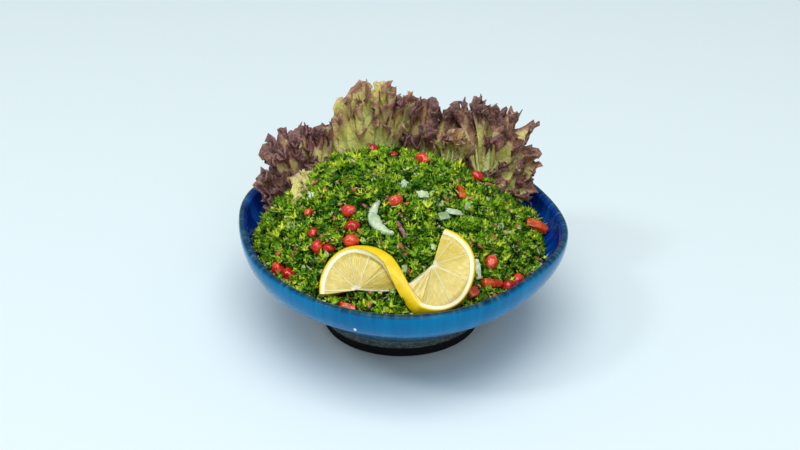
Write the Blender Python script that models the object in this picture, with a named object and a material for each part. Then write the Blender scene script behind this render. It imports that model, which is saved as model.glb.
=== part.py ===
"""Tabbouleh salad in a wavy-rimmed glazed bowl, dressed with red lettuce and a lemon twist.

The bowl stands on Z = 0 with its front towards -Y.  Every piece is modelled about the
bowl's own upright axis and hangs on one empty, which moves the whole so that the origin
is the middle of its box at the table.  Azimuths run from +X towards +Y, in degrees.
"""

import math

import bmesh
import bpy
from mathutils import Euler, Matrix, Vector
from mathutils.bvhtree import BVHTree

MM = 0.001

# Whole object -------------------------------------------------------------------------
AXIS_X = -0.3 * MM
AXIS_Y = 3.5 * MM
COLUMNS = 40
CLEARANCE = 0.4 * MM

# Bowl ---------------------------------------------------------------------------------
RIM_RADIUS = 115 * MM
RIM_HEIGHT = 73.5 * MM
LIP_RADIUS = 2.6 * MM
WALL = 6 * MM
FOOT_RADIUS = 54 * MM
FOOT_HEIGHT = 7 * MM
FOOT_CHAMFER = 1 * MM
FOOT_RING_WIDTH = 9 * MM
FOOT_FLARE = 0.5 * MM
FOOT_RECESS = 4 * MM
RECESS_SLANT = 2 * MM
FLOOR_TOP = 12.5 * MM
# The inner wall ends this far above the floor and rounds into it in two steps.
COVE_HEIGHT = 4 * MM
COVE_STEP = 9 * MM
COVE_RISE = 1 * MM
BODY_START = (59 * MM, 14 * MM)
BEND_START = (106 * MM, 52 * MM)
BEND_STEPS = 3
INNER_STEPS = 3
OUTER_STEPS = 3
LIP_ANGLES = (35, 90, 145)
# Each wave of the rim: lobes round the bowl, share of the radius, azimuth of one lobe.
RIM_WAVES = ((2, 0.037, 103), (3, 0.026, 33), (4, 0.0124, 56), (5, 0.0148, -5))
# Each rise and fall of the rim: lobes, height, azimuth of one high point.
RIM_LIFTS = ((2, 0.55 * MM, 14), (3, 1.9 * MM, -45))
WAVE_REACH = 1.3
BOWL_SMOOTH = 40

# Heap of chopped salad ----------------------------------------------------------------
HEAP_TOP = 111 * MM
HEAP_SHELF = 46 * MM
HEAP_CREST = (-18 * MM, 22 * MM)
HEAP_LEFT = 88 * MM
HEAP_RIGHT = 124 * MM
HEAP_FRONT = 128 * MM
HEAP_BACK = 50 * MM
HEAP_LEFT_POWER = 2.6
HEAP_RIGHT_POWER = 1.95
HEAP_DEPTH_POWER = 2.2
# The hollow at the back left where the first lettuce leaf stands.
POCKET_CENTRE = (-77 * MM, 52 * MM)
POCKET_RADIUS = 20 * MM
POCKET_DEPTH = 42 * MM
LUMP_HEIGHT = 1.5 * MM
LUMP_PITCHES = (31 * MM, 23 * MM, 17 * MM)
# Turn of the first set of lumps and from one set to the next, in radians.
LUMP_TURN = 0.7
LUMP_TURN_STEP = 1.1
HEAP_GAP = 1 * MM
HEAP_EDGE_LEAST = 60 * MM
EDGE_HALVINGS = 30
SLOPE_STEP = 2 * MM
HEAP_SMOOTH = 50
HEAP_RINGS = 12
HEAP_UNDER_RINGS = 3

# Lemon twist --------------------------------------------------------------------------
SLICE_THICKNESS = 8 * MM
SLICE_CORE = 1.6 * MM
PITH_DEPTH = 5 * MM
RIND_BULGE = 0.7 * MM
LEMON_SMOOTH = 40

# Pomegranate arils --------------------------------------------------------------------
ARIL_LENGTH = 9.6 * MM
ARIL_WIDTH = 7.8 * MM
ARIL_LIFT = 1.6 * MM
ARIL_PINCH = 0.28
ARIL_SMOOTH = 60

# Chopped bits and the onion crescent --------------------------------------------------
# Size kept at the middle of a face, of an edge and at a corner of a chopped block.
CHUNK_EASE = {1: 1.0, 2: 0.96, 3: 0.86}
CHUNK_SMOOTH = 50
CRESCENT_AT = (-16.5 * MM, -43 * MM)
CRESCENT_LIFT = 0.1 * MM
CRESCENT_HEADING = 200
CRESCENT_ROLL = 6
CRESCENT_RADIUS = 14 * MM
CRESCENT_WIDTH = 7 * MM
CRESCENT_THICKNESS = 3 * MM
CRESCENT_SWEEP = 120
CRESCENT_STATIONS = 10
CRESCENT_TIP = 0.25


def srgb(red, green, blue):
    """Scene-linear colour of an 8-bit sRGB one."""
    channels = []
    for value in (red, green, blue):
        share = value / 255
        low = share / 12.92
        high = ((share + 0.055) / 1.055) ** 2.4
        channels.append(low if share <= 0.04045 else high)
    return (*channels, 1.0)


def material(name, colour, roughness, metallic=0.0):
    """A plain Principled material."""
    made = bpy.data.materials.new(name)
    made.use_nodes = True
    shader = made.node_tree.nodes["Principled BSDF"]
    shader.inputs["Base Color"].default_value = colour
    shader.inputs["Roughness"].default_value = roughness
    shader.inputs["Metallic"].default_value = metallic
    return made


def clear_scene():
    for old in list(bpy.data.objects):
        bpy.data.objects.remove(old, do_unlink=True)


def new_object(name, mesh, surface, parent, smooth_angle=None):
    """An object of this mesh, in the scene, under the parent empty."""
    made = bpy.data.objects.new(name, mesh)
    bpy.context.scene.collection.objects.link(made)
    made.parent = parent
    if surface is not None:
        mesh.materials.append(surface)
    if smooth_angle is not None:
        mesh.shade_smooth()
        mesh.set_sharp_from_angle(angle=math.radians(smooth_angle))
    return made


def mesh_from(name, points, faces):
    """A closed mesh of flat triangles that all face outwards."""
    mesh = bpy.data.meshes.new(name)
    mesh.from_pydata([tuple(point) for point in points], [], faces)
    work = bmesh.new()
    work.from_mesh(mesh)
    bmesh.ops.recalc_face_normals(work, faces=work.faces)
    bmesh.ops.triangulate(work, faces=work.faces, quad_method="FIXED")
    work.to_mesh(mesh)
    work.free()
    return mesh


def ring_faces(first, second, count, closed=True):
    """Quads between two rows of points that start at these indices."""
    last = count if closed else count - 1
    faces = []
    for i in range(last):
        j = (i + 1) % count
        faces.append((first + i, first + j, second + j, second + i))
    return faces


# Bowl ---------------------------------------------------------------------------------


def rim_wave(azimuth):
    """Share by which the rim stands out from a circle at this azimuth."""
    return sum(share * math.cos(lobes * (azimuth - math.radians(peak)))
               for lobes, share, peak in RIM_WAVES)


def rim_lift(azimuth):
    """Height by which the rim stands above its mean at this azimuth."""
    return sum(height * math.cos(lobes * (azimuth - math.radians(peak)))
               for lobes, height, peak in RIM_LIFTS)


def bowl_point(radius, height, azimuth):
    """A point of the round profile, moved out and up by the rim's waves."""
    rise = max(0.0, (height - FOOT_HEIGHT) / (RIM_HEIGHT - FOOT_HEIGHT))
    reach = min(1.0, WAVE_REACH * rise)
    spread = radius * (1 + rim_wave(azimuth) * reach)
    lifted = height + rim_lift(azimuth) * rise * rise
    return Vector((spread * math.cos(azimuth), spread * math.sin(azimuth), lifted))


def wall_profile(inset, straight_steps):
    """Radius and height up the wall: a cone, then an arc that ends upright."""
    start_r, start_z = BODY_START
    bend_r, bend_z = BEND_START
    slope = math.atan2(bend_r - start_r, bend_z - start_z)
    arc = (RIM_HEIGHT - LIP_RADIUS - bend_z) / math.sin(slope)
    across = Vector((-math.cos(slope), math.sin(slope)))
    rows = []
    for i in range(straight_steps + 1):
        share = i / straight_steps
        point = Vector((start_r, start_z)).lerp(Vector((bend_r, bend_z)), share)
        rows.append(point + across * inset)
    for i in range(1, BEND_STEPS + 1):
        angle = slope * (1 - i / BEND_STEPS)
        radius = bend_r + arc * (math.cos(angle) - math.cos(slope))
        height = bend_z + arc * (math.sin(slope) - math.sin(angle))
        rows.append(Vector((radius - inset * math.cos(angle),
                            height + inset * math.sin(angle))))
    return rows


def inner_profile(inset=0.0):
    """Inside of the bowl from the lip down to the edge of its floor."""
    wall = wall_profile(WALL + inset, INNER_STEPS)
    floor = FLOOR_TOP + inset
    kept = [row for row in wall if row.y > floor + COVE_HEIGHT]
    kept.reverse()
    low = kept[-1]
    kept.append(Vector((low.x - COVE_STEP, floor + COVE_RISE)))
    kept.append(Vector((low.x - 2 * COVE_STEP, floor)))
    return kept


def lip_profile():
    """Half round over the lip, from the outside to the inside."""
    wall_top = wall_profile(0, OUTER_STEPS)[-1]
    middle = Vector((wall_top.x - LIP_RADIUS, wall_top.y))
    return [middle + LIP_RADIUS * Vector((math.cos(math.radians(a)), math.sin(math.radians(a))))
            for a in LIP_ANGLES]


def bowl_profile():
    """The whole turned profile, from under the foot over the lip to the inner floor."""
    ring_inner = FOOT_RADIUS - FOOT_RING_WIDTH
    foot = [Vector((ring_inner - RECESS_SLANT, FOOT_RECESS)),
            Vector((ring_inner, 0)),
            Vector((FOOT_RADIUS - FOOT_CHAMFER, 0)),
            Vector((FOOT_RADIUS, FOOT_CHAMFER)),
            Vector((FOOT_RADIUS + FOOT_FLARE, FOOT_HEIGHT))]
    return foot + wall_profile(0, OUTER_STEPS) + lip_profile() + inner_profile()


def build_bowl(parent):
    profile = bowl_profile()
    azimuths = [math.tau * i / COLUMNS for i in range(COLUMNS)]
    points = [Vector((0, 0, FOOT_RECESS))]
    faces = []
    for row in profile:
        points.extend(bowl_point(row.x, row.y, azimuth) for azimuth in azimuths)
    for i in range(len(profile) - 1):
        faces += ring_faces(1 + i * COLUMNS, 1 + (i + 1) * COLUMNS, COLUMNS)
    top = len(points)
    points.append(Vector((0, 0, profile[-1].y)))
    last = 1 + (len(profile) - 1) * COLUMNS
    for i in range(COLUMNS):
        j = (i + 1) % COLUMNS
        faces.append((0, 1 + j, 1 + i))
        faces.append((top, last + i, last + j))
    glaze = material("blue_glaze", srgb(20, 96, 160), 0.12)
    return new_object("bowl", mesh_from("bowl", points, faces), glaze, parent, BOWL_SMOOTH)


# Heap ---------------------------------------------------------------------------------


def heap_height(x, y):
    """Smooth height of the heap above the table at this place."""
    crest_x, crest_y = HEAP_CREST
    if x < crest_x:
        sideways = ((crest_x - x) / HEAP_LEFT) ** HEAP_LEFT_POWER
    else:
        sideways = ((x - crest_x) / HEAP_RIGHT) ** HEAP_RIGHT_POWER
    reach = HEAP_FRONT if y < crest_y else HEAP_BACK
    lengthways = (abs(y - crest_y) / reach) ** HEAP_DEPTH_POWER
    rise = (HEAP_TOP - HEAP_SHELF) * max(0.0, 1 - sideways - lengthways)
    off_x = x - POCKET_CENTRE[0]
    off_y = y - POCKET_CENTRE[1]
    pocket = math.exp(-(off_x ** 2 + off_y ** 2) / (2 * POCKET_RADIUS ** 2))
    return HEAP_SHELF + max(0.0, rise - POCKET_DEPTH * pocket)


def heap_lumps(x, y):
    """Uneven ups and downs of the chopped salad."""
    total = 0.0
    for i, pitch in enumerate(LUMP_PITCHES):
        turn = LUMP_TURN + LUMP_TURN_STEP * i
        along = x * math.cos(turn) + y * math.sin(turn)
        across = y * math.cos(turn) - x * math.sin(turn)
        total += math.sin(math.tau * along / pitch + i) * math.cos(math.tau * across / pitch)
    return LUMP_HEIGHT * total


def wall_radius_at(height, azimuth, profile):
    """Radius of a profile of the wall at this height and azimuth."""
    best = profile[0] if height > profile[0].y else profile[-1]
    for high, low in zip(profile, profile[1:]):
        if low.y <= height <= high.y:
            share = (height - low.y) / (high.y - low.y)
            best = low.lerp(high, share)
            break
    point = bowl_point(best.x, best.y, azimuth)
    return math.hypot(point.x, point.y)


def heap_edge(azimuth, profile):
    """Radius where the heap's surface meets the wall."""
    near, far = HEAP_EDGE_LEAST, RIM_RADIUS
    for _ in range(EDGE_HALVINGS):
        middle = (near + far) / 2
        height = heap_height(middle * math.cos(azimuth), middle * math.sin(azimuth))
        if middle < wall_radius_at(height, azimuth, profile):
            near = middle
        else:
            far = middle
    return near


def build_heap(parent, cutters):
    """The heap fills the bowl: lumpy on top, and the bowl's own shape beneath."""
    profile = inner_profile(HEAP_GAP)
    points = [Vector((0, 0, heap_height(0, 0) + heap_lumps(0, 0)))]
    faces = []
    columns = []
    for i in range(COLUMNS):
        azimuth = math.tau * i / COLUMNS
        edge = heap_edge(azimuth, profile)
        column = []
        for ring in range(1, HEAP_RINGS + 1):
            radius = edge * ring / HEAP_RINGS
            x, y = radius * math.cos(azimuth), radius * math.sin(azimuth)
            lumps = heap_lumps(x, y) if ring < HEAP_RINGS else 0.0
            column.append(Vector((x, y, heap_height(x, y) + lumps)))
        top = column[-1].z
        bottom = profile[-1].y
        for ring in range(1, HEAP_UNDER_RINGS + 1):
            height = top + (bottom - top) * ring / HEAP_UNDER_RINGS
            radius = wall_radius_at(height, azimuth, profile)
            column.append(Vector((radius * math.cos(azimuth), radius * math.sin(azimuth), height)))
        columns.append(column)
    rows = HEAP_RINGS + HEAP_UNDER_RINGS
    for row in range(rows):
        points.extend(column[row] for column in columns)
    for row in range(rows - 1):
        faces += ring_faces(1 + row * COLUMNS, 1 + (row + 1) * COLUMNS, COLUMNS)
    underside = len(points)
    points.append(Vector((0, 0, profile[-1].y)))
    last = 1 + (rows - 1) * COLUMNS
    for i in range(COLUMNS):
        j = (i + 1) % COLUMNS
        faces.append((0, 1 + i, 1 + j))
        faces.append((underside, last + j, last + i))
    parsley = material("chopped_parsley", srgb(62, 122, 22), 0.6)
    heap = new_object("salad_heap", mesh_from("salad_heap", points, faces), parsley, parent,
                      HEAP_SMOOTH)
    surface = BVHTree.FromPolygons([tuple(point) for point in points], faces)
    sockets = heap.modifiers.new("sockets", "BOOLEAN")
    sockets.operation = "DIFFERENCE"
    sockets.solver = "EXACT"
    sockets.operand_type = "COLLECTION"
    sockets.collection = cutters
    return surface


def surface_normal(x, y):
    """Upward normal of the smooth heap."""
    step = SLOPE_STEP
    fall_x = (heap_height(x + step, y) - heap_height(x - step, y)) / (2 * step)
    fall_y = (heap_height(x, y + step) - heap_height(x, y - step)) / (2 * step)
    return Vector((-fall_x, -fall_y, 1)).normalized()


def lie_on_heap(surface, x, y, lift, heading, tilt=0.0, roll=0.0):
    """Placement on the heap: local Z along its normal, local X along the heading."""
    up = surface_normal(x, y)
    side = Vector((math.cos(math.radians(heading)), math.sin(math.radians(heading)), 0))
    forward = (side - up * side.dot(up)).normalized()
    across = up.cross(forward)
    turn = Matrix((forward, across, up)).transposed().to_4x4()
    own = Euler((math.radians(roll), -math.radians(tilt), 0)).to_matrix().to_4x4()
    ground = surface.ray_cast(Vector((x, y, 2 * HEAP_TOP)), Vector((0, 0, -1)))[0]
    return Matrix.Translation(ground + up * lift) @ turn @ own


# Small pieces -------------------------------------------------------------------------


def aril_mesh(name, size, grow=0.0):
    """One seed of pomegranate: a round body pinched towards its pointed end."""
    work = bmesh.new()
    bmesh.ops.create_icosphere(work, subdivisions=2, radius=1.0)
    for vert in work.verts:
        slim = 1 - ARIL_PINCH * max(0.0, vert.co.x)
        vert.co.y *= slim * (size * ARIL_WIDTH / 2 + grow)
        vert.co.z *= slim * (size * ARIL_WIDTH / 2 + grow)
        vert.co.x *= size * ARIL_LENGTH / 2 + grow
    mesh = bpy.data.meshes.new(name)
    work.to_mesh(mesh)
    work.free()
    return mesh


def chunk_mesh(name, size, taper=0.0, bend=0.0, grow=0.0):
    """A chopped bit: a block with eased edges, tapered and bent along its length."""
    work = bmesh.new()
    bmesh.ops.create_cube(work, size=2.0)
    bmesh.ops.subdivide_edges(work, edges=work.edges, cuts=1, use_grid_fill=True)
    length, width, height = (value / 2 + grow for value in size)
    for vert in work.verts:
        ease = CHUNK_EASE[round(abs(vert.co.x) + abs(vert.co.y) + abs(vert.co.z))]
        along = vert.co.x
        slim = 1 - taper * (along + 1) / 2
        vert.co = Vector((vert.co.x * ease * length,
                          vert.co.y * ease * slim * width,
                          vert.co.z * ease * height + bend * (1 - along * along)))
    bmesh.ops.triangulate(work, faces=work.faces, quad_method="FIXED")
    mesh = bpy.data.meshes.new(name)
    work.to_mesh(mesh)
    work.free()
    return mesh


def crescent_mesh(name, grow=0.0):
    """A slice of onion layer: a flat crescent that narrows to both ends."""
    points = []
    faces = []
    for i in range(CRESCENT_STATIONS):
        share = i / (CRESCENT_STATIONS - 1)
        angle = math.radians(CRESCENT_SWEEP) * (share - 0.5)
        slim = CRESCENT_TIP + (1 - CRESCENT_TIP) * math.sin(math.pi * share)
        full = CRESCENT_WIDTH * slim / 2 + grow
        out = Vector((math.cos(angle), math.sin(angle), 0))
        half = CRESCENT_THICKNESS / 2 + grow
        end = (2 * share - 1) * grow
        middle = out * CRESCENT_RADIUS + Vector((-math.sin(angle), math.cos(angle), 0)) * end
        for reach, rise in ((full, half), (full, -half), (-full, -half), (-full, half)):
            points.append(middle + out * reach + Vector((-CRESCENT_RADIUS, 0, rise)))
    for i in range(CRESCENT_STATIONS - 1):
        faces += ring_faces(4 * i, 4 * (i + 1), 4)
    faces.append((0, 1, 2, 3))
    faces.append(tuple(4 * (CRESCENT_STATIONS - 1) + k for k in (3, 2, 1, 0)))
    return mesh_from(name, points, faces)


def hide_as_cutter(cutter, parent, cutters, place):
    """Put a hidden shape among those that cut the heap."""
    cutters.objects.link(cutter)
    cutter.parent = parent
    cutter.matrix_local = place
    cutter.hide_render = True
    cutter.display_type = "WIRE"


def place_pair(name, solid, cutter_mesh, place, surface, parent, cutters, smooth_angle):
    """The piece itself, and the slightly larger hidden one that cuts its socket."""
    piece = new_object(name, solid, surface, parent, smooth_angle)
    piece.matrix_local = place
    hide_as_cutter(bpy.data.objects.new(name + "_socket", cutter_mesh), parent, cutters, place)
    return piece


def build_arils(parent, cutters, surface):
    """Each aril: place on the heap in millimetres, heading, tilt, extra lift, size."""
    spots = (
        (-19, 38, 15, 0, 1.8, 1.0), (13.5, 21, -40, 10, 0.8, 1.05), (50, 28, -15, 5, 1.2, 1.0),
        (-3.5, -30.5, 25, 0, 0, 1.0), (-33, -38, 10, 0, 0, 1.0), (-30.5, -47.5, 5, 10, 0, 1.0),
        (-31, -57, 0, -5, 0, 1.05), (-52, -56, 60, 10, 0, 0.95), (-45, -60, -20, 0, -1, 0.78),
        (-77.5, -53.5, 75, 0, 0, 1.0), (-70.5, -62, 120, 0, -0.4, 0.95),
        (56.5, -49, 100, 15, 0.5, 1.08), (74, -50, 60, 0, 0.4, 1.0), (67.5, -58, 15, 0, 0.3, 1.0),
        (-59, -28, 20, 0, -1, 0.72), (-55.5, -44, 70, 0, -1, 0.8), (-5, 24, 40, 0, -1, 0.6),
    )
    flesh = material("aril_red", srgb(178, 30, 26), 0.12)
    for i, (x, y, heading, tilt, extra, size) in enumerate(spots):
        name = f"aril_{i + 1:02d}"
        place = lie_on_heap(surface, x * MM, y * MM, ARIL_LIFT + extra * MM, heading, tilt)
        place_pair(name, aril_mesh(name, size), aril_mesh(name + "_socket", size, CLEARANCE),
                   place, flesh, parent, cutters, ARIL_SMOOTH)


def build_chunks(parent, cutters, surface):
    """Diced tomato, onion, cucumber and stalk that lie on top of the heap."""
    tomato = material("tomato", srgb(196, 72, 22), 0.25)
    onion = material("onion", srgb(206, 222, 196), 0.3)
    cucumber = material("cucumber", srgb(120, 150, 96), 0.35)
    stalk = material("stalk", srgb(176, 178, 96), 0.5)
    beet = material("red_onion_skin", srgb(104, 34, 40), 0.4)
    # name, flesh, place, heading, tilt, roll, lift, size, taper, bend, all in mm
    pieces = (
        ("tomato_strip", tomato, (39, -2), 110, 0, 15, 0.6, (11, 5, 3), 0.1, 0.6),
        ("tomato_wedge", tomato, (90, 12), -8, 24, 20, 3.5, (16, 8, 4), 0.3, 1.0),
        ("tomato_dice_front", tomato, (-33, -91.5), -18, 0, 10, 1.2, (11, 6, 5), 0.2, 0.5),
        ("tomato_dice_right", tomato, (57, -62), 12, 0, 20, 0.8, (14, 6, 4), 0.3, 0.8),
        ("tomato_dice_middle", tomato, (44, -73), 40, 0, 0, 0.8, (8, 7, 5), 0.1, 0.3),
        ("onion_chip_top", onion, (13.5, -19), 12, 0, 10, 0.5, (8.5, 6, 2.4), 0.15, 0.4),
        ("onion_strip_right", onion, (34.5, -24), 8, 0, 25, 0.5, (14, 4, 2.2), 0.2, 0.8),
        ("onion_strip_front", onion, (47.5, -58.5), -68, 0, 30, 0.8, (14, 5, 2.2), 0.2, 0.9),
        ("onion_chip_middle", onion, (1.5, -12), 60, 0, 0, 0.4, (9, 6, 2.2), 0.2, 0.4),
        ("onion_chip_left", onion, (-58, -16), 30, 0, 10, 0.5, (6.5, 5, 2.2), 0.1, 0.3),
        ("cucumber_chip", cucumber, (27, -32), 30, 0, 5, 0.4, (8.5, 6, 2.6), 0.1, 0.3),
        ("stalk_bit", stalk, (70.5, -18.5), 25, 0, 0, 0.7, (10, 3, 2.6), 0.1, 0.3),
        ("red_onion_strip", beet, (0, -48.5), -64, 0, 10, 0.5, (14, 3, 2.2), 0.2, 0.6),
    )
    for name, flesh, (x, y), heading, tilt, roll, lift, size, taper, bend in pieces:
        measures = [value * MM for value in size]
        place = lie_on_heap(surface, x * MM, y * MM, lift * MM, heading, tilt, roll)
        solid = chunk_mesh(name, measures, taper, bend * MM)
        cutter = chunk_mesh(name + "_socket", measures, taper, bend * MM, CLEARANCE)
        place_pair(name, solid, cutter, place, flesh, parent, cutters, CHUNK_SMOOTH)
    place = lie_on_heap(surface, *CRESCENT_AT, CRESCENT_LIFT, CRESCENT_HEADING,
                        roll=CRESCENT_ROLL)
    place_pair("onion_crescent", crescent_mesh("onion_crescent"),
               crescent_mesh("onion_crescent_socket", CLEARANCE),
               place, onion, parent, cutters, CHUNK_SMOOTH)


# Lemon twist --------------------------------------------------------------------------

# The slice stands on a leaning board: X right, Y up the board, Z out of it to the front.
BOARD_ORIGIN = (0 * MM, -81.8 * MM, 73.3 * MM)
BOARD_LEAN = 62
LEFT_CORE = (-27 * MM, -5 * MM, 0 * MM)
RIGHT_CORE = (19.4 * MM, 10.5 * MM, -7 * MM)
LEFT_SPAN = (188, 48)
RIGHT_SPAN = (252, 430)
# Left half: reach towards the strip and away from it, reach upwards, and its place out of
# the board at the core, with how far it comes out sideways and leans back upwards.
LEFT_REACH = (27 * MM, 23 * MM)
LEFT_RISE = 26.5 * MM
LEFT_OUT = (2.5 * MM, 3 * MM, -9.5 * MM)
# Right half: reach sideways, reach upwards and downwards, and the same for its place out.
RIGHT_REACH = 26 * MM
RIGHT_RISE = (23 * MM, 29.5 * MM)
RIGHT_OUT = (-7.5 * MM, -13.5 * MM)
# Turn of the rind about its own length, from flat on the left to flat on the right.
TURN_START = 100
TURN_AT_STRIP = 45
TURN_END = 305
STRIP_PULL = 0.6
# Shares of the strip where the left half's flesh ends and the right half's begins.
STRIP_BARE = (0.4, 0.6)
# Open space in the heap behind the bare strip, where both halves' flesh ends.
HOLLOW_CENTRE = (-0.5 * MM, -79 * MM, 68.5 * MM)
HOLLOW_RADIUS = 11 * MM
LEFT_STEPS = 10
STRIP_STEPS = 8
RIGHT_STEPS = 11


def left_rind(angle):
    """Rind of the left half: an arc squeezed on its outer side, its top leaning back."""
    sideways, rise = math.cos(angle), math.sin(angle)
    reach = LEFT_REACH[0] if sideways > 0 else LEFT_REACH[1]
    return Vector((LEFT_CORE[0] + reach * sideways,
                   LEFT_CORE[1] + LEFT_RISE * rise,
                   LEFT_OUT[0] + LEFT_OUT[1] * sideways + LEFT_OUT[2] * rise))


def right_rind(angle):
    """Rind of the right half, which lies back against the heap."""
    rise = math.sin(angle)
    reach = RIGHT_RISE[0] if rise > 0 else RIGHT_RISE[1]
    return Vector((RIGHT_CORE[0] + RIGHT_REACH * math.cos(angle),
                   RIGHT_CORE[1] + reach * rise,
                   RIGHT_OUT[0] + RIGHT_OUT[1] * rise))


def hermite(start, end, start_pull, end_pull, share):
    """Point of a smooth curve that leaves and arrives along the given pulls."""
    s2, s3 = share ** 2, share ** 3
    return ((2 * s3 - 3 * s2 + 1) * start + (s3 - 2 * s2 + share) * start_pull
            + (3 * s2 - 2 * s3) * end + (s3 - s2) * end_pull)


def lemon_stations():
    """Rind point, turn of the rind and core (or None on the bare strip) along the slice."""
    left_core, right_core = Vector(LEFT_CORE), Vector(RIGHT_CORE)
    stations = []
    for i in range(LEFT_STEPS):
        degrees = LEFT_SPAN[0] + (LEFT_SPAN[1] - LEFT_SPAN[0]) * i / (LEFT_STEPS - 1)
        share = max(0.0, (TURN_START - degrees) / (TURN_START - LEFT_SPAN[1]))
        stations.append((left_rind(math.radians(degrees)), TURN_AT_STRIP * share, left_core))
    start, end = math.radians(LEFT_SPAN[1]), math.radians(RIGHT_SPAN[0])
    step = math.radians(1)
    first, last = left_rind(start), right_rind(end)
    pull = (last - first).length * STRIP_PULL
    leave = (left_rind(start - step) - first).normalized() * pull
    arrive = (last - right_rind(end - step)).normalized() * pull
    for i in range(1, STRIP_STEPS):
        share = i / STRIP_STEPS
        turn = TURN_AT_STRIP + (180 - 2 * TURN_AT_STRIP) * share
        core = None
        if share < STRIP_BARE[0]:
            core = left_core
        elif share > STRIP_BARE[1]:
            core = right_core
        stations.append((hermite(first, last, leave, arrive, share), turn, core))
    for i in range(RIGHT_STEPS):
        degrees = RIGHT_SPAN[0] + (RIGHT_SPAN[1] - RIGHT_SPAN[0]) * i / (RIGHT_STEPS - 1)
        share = max(0.0, (TURN_END - degrees) / (TURN_END - RIGHT_SPAN[0]))
        stations.append((right_rind(math.radians(degrees)), 180 - TURN_AT_STRIP * share, right_core))
    return stations


def lemon_mesh(name, grow=0.0):
    """The twisted slice as one solid: flesh, pith and rind together."""
    stations = lemon_stations()
    half = SLICE_THICKNESS / 2 + grow
    points = []
    faces = []
    for i, (rind, turn, core) in enumerate(stations):
        ahead = stations[min(i + 1, len(stations) - 1)][0]
        behind = stations[max(i - 1, 0)][0]
        along = (ahead - behind).normalized()
        right_hand = along.cross(Vector((0, 0, 1))).normalized()
        front = right_hand.cross(along)
        angle = math.radians(turn)
        side = front * math.cos(angle) + right_hand * math.sin(angle)
        outward = front * math.sin(angle) - right_hand * math.cos(angle)
        pith = rind - outward * PITH_DEPTH
        if core is None:
            inner = pith - outward * (SLICE_CORE + grow)
            inner_side = side
        else:
            inner = core + (pith - core).normalized() * (SLICE_CORE - grow)
            inner_side = Vector((0, 0, 1 if turn < 90 else -1))
        outer = rind + outward * grow
        end = -grow if i == 0 else grow if i == len(stations) - 1 else 0.0
        for point in (inner + inner_side * half, pith + side * half, outer + side * half,
                      outer + outward * RIND_BULGE, outer - side * half,
                      pith - side * half, inner - inner_side * half):
            points.append(point + along * end)
    count = 7
    for i in range(len(stations) - 1):
        faces += ring_faces(count * i, count * (i + 1), count)
    faces.append(tuple(range(count)))
    faces.append(tuple(count * (len(stations) - 1) + k for k in reversed(range(count))))
    return mesh_from(name, points, faces)


def build_lemon(parent, cutters):
    zest = material("lemon_zest", srgb(243, 214, 20), 0.35)
    place = Matrix.Translation(BOARD_ORIGIN) @ Matrix.Rotation(math.radians(BOARD_LEAN), 4, "X")
    place_pair("lemon_twist", lemon_mesh("lemon_twist"),
               lemon_mesh("lemon_twist_socket", CLEARANCE), place, zest, parent, cutters,
               LEMON_SMOOTH)
    hollow = bmesh.new()
    bmesh.ops.create_icosphere(hollow, subdivisions=2, radius=HOLLOW_RADIUS)
    mesh = bpy.data.meshes.new("strip_hollow")
    hollow.to_mesh(mesh)
    hollow.free()
    hide_as_cutter(bpy.data.objects.new("strip_hollow", mesh), parent, cutters,
                   Matrix.Translation(HOLLOW_CENTRE))


# Lettuce ------------------------------------------------------------------------------

# Powers that shape a leaf: how its top falls to the sides, and how the teeth of its edge,
# its fan and its ruffles grow from the foot up.
TOP_POWER = 2.2
TOOTH_POWER = 3
FAN_POWER = 4
RUFFLE_POWER = 1.6
RUFFLE_MIDDLE = 0.55
FOOT_SWELL = 1.3
TIP_SWELL = 0.8
LEAF_SMOOTH = 60


def leaf_mesh(name, leaf):
    """A ruffled fan of leaf that stands on an arc about the bowl's axis."""
    columns, rows = leaf["grid"]
    base_r, base_z = leaf["base"]
    points = []
    for layer in (-1, 1):
        for row in range(rows + 1):
            out = row / rows
            for column in range(columns + 1):
                across = 2 * column / columns - 1
                drop = leaf["drop_left"] if across < 0 else leaf["drop_right"]
                tall = leaf["height"] * (1 - drop * abs(across) ** TOP_POWER)
                teeth = leaf["tooth"] * (column % 2) * out ** TOOTH_POWER
                height = base_z + out * tall + teeth
                fan = 1 - (1 - out) ** FAN_POWER
                sweep = leaf["stem"] + (leaf["spread"] - leaf["stem"]) * fan
                azimuth = math.radians(leaf["azimuth"] - sweep * across)
                wave = math.sin(math.tau * leaf["waves"] * across / 2 + leaf["phase"])
                sway = RUFFLE_MIDDLE + (1 - RUFFLE_MIDDLE) * abs(across)
                ruffle = leaf["ruffle"] * out ** RUFFLE_POWER * wave * sway
                thick = leaf["thickness"] * (FOOT_SWELL + (TIP_SWELL - FOOT_SWELL) * out) / 2
                radius = base_r + leaf["lean"] * (height - base_z) + ruffle + layer * thick
                points.append(Vector((radius * math.cos(azimuth), radius * math.sin(azimuth), height)))
    size = (columns + 1) * (rows + 1)
    faces = []
    for row in range(rows):
        for column in range(columns):
            a = row * (columns + 1) + column
            b, c, d = a + 1, a + columns + 2, a + columns + 1
            faces.append((a, b, c, d))
            faces.append((size + d, size + c, size + b, size + a))
    loop = [i for i in range(columns)]
    loop += [columns + row * (columns + 1) for row in range(rows)]
    loop += [rows * (columns + 1) + column for column in range(columns, 0, -1)]
    loop += [row * (columns + 1) for row in range(rows, 0, -1)]
    for a, b in zip(loop, loop[1:] + loop[:1]):
        faces.append((b, a, size + a, size + b))
    return mesh_from(name, points, faces)


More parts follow.
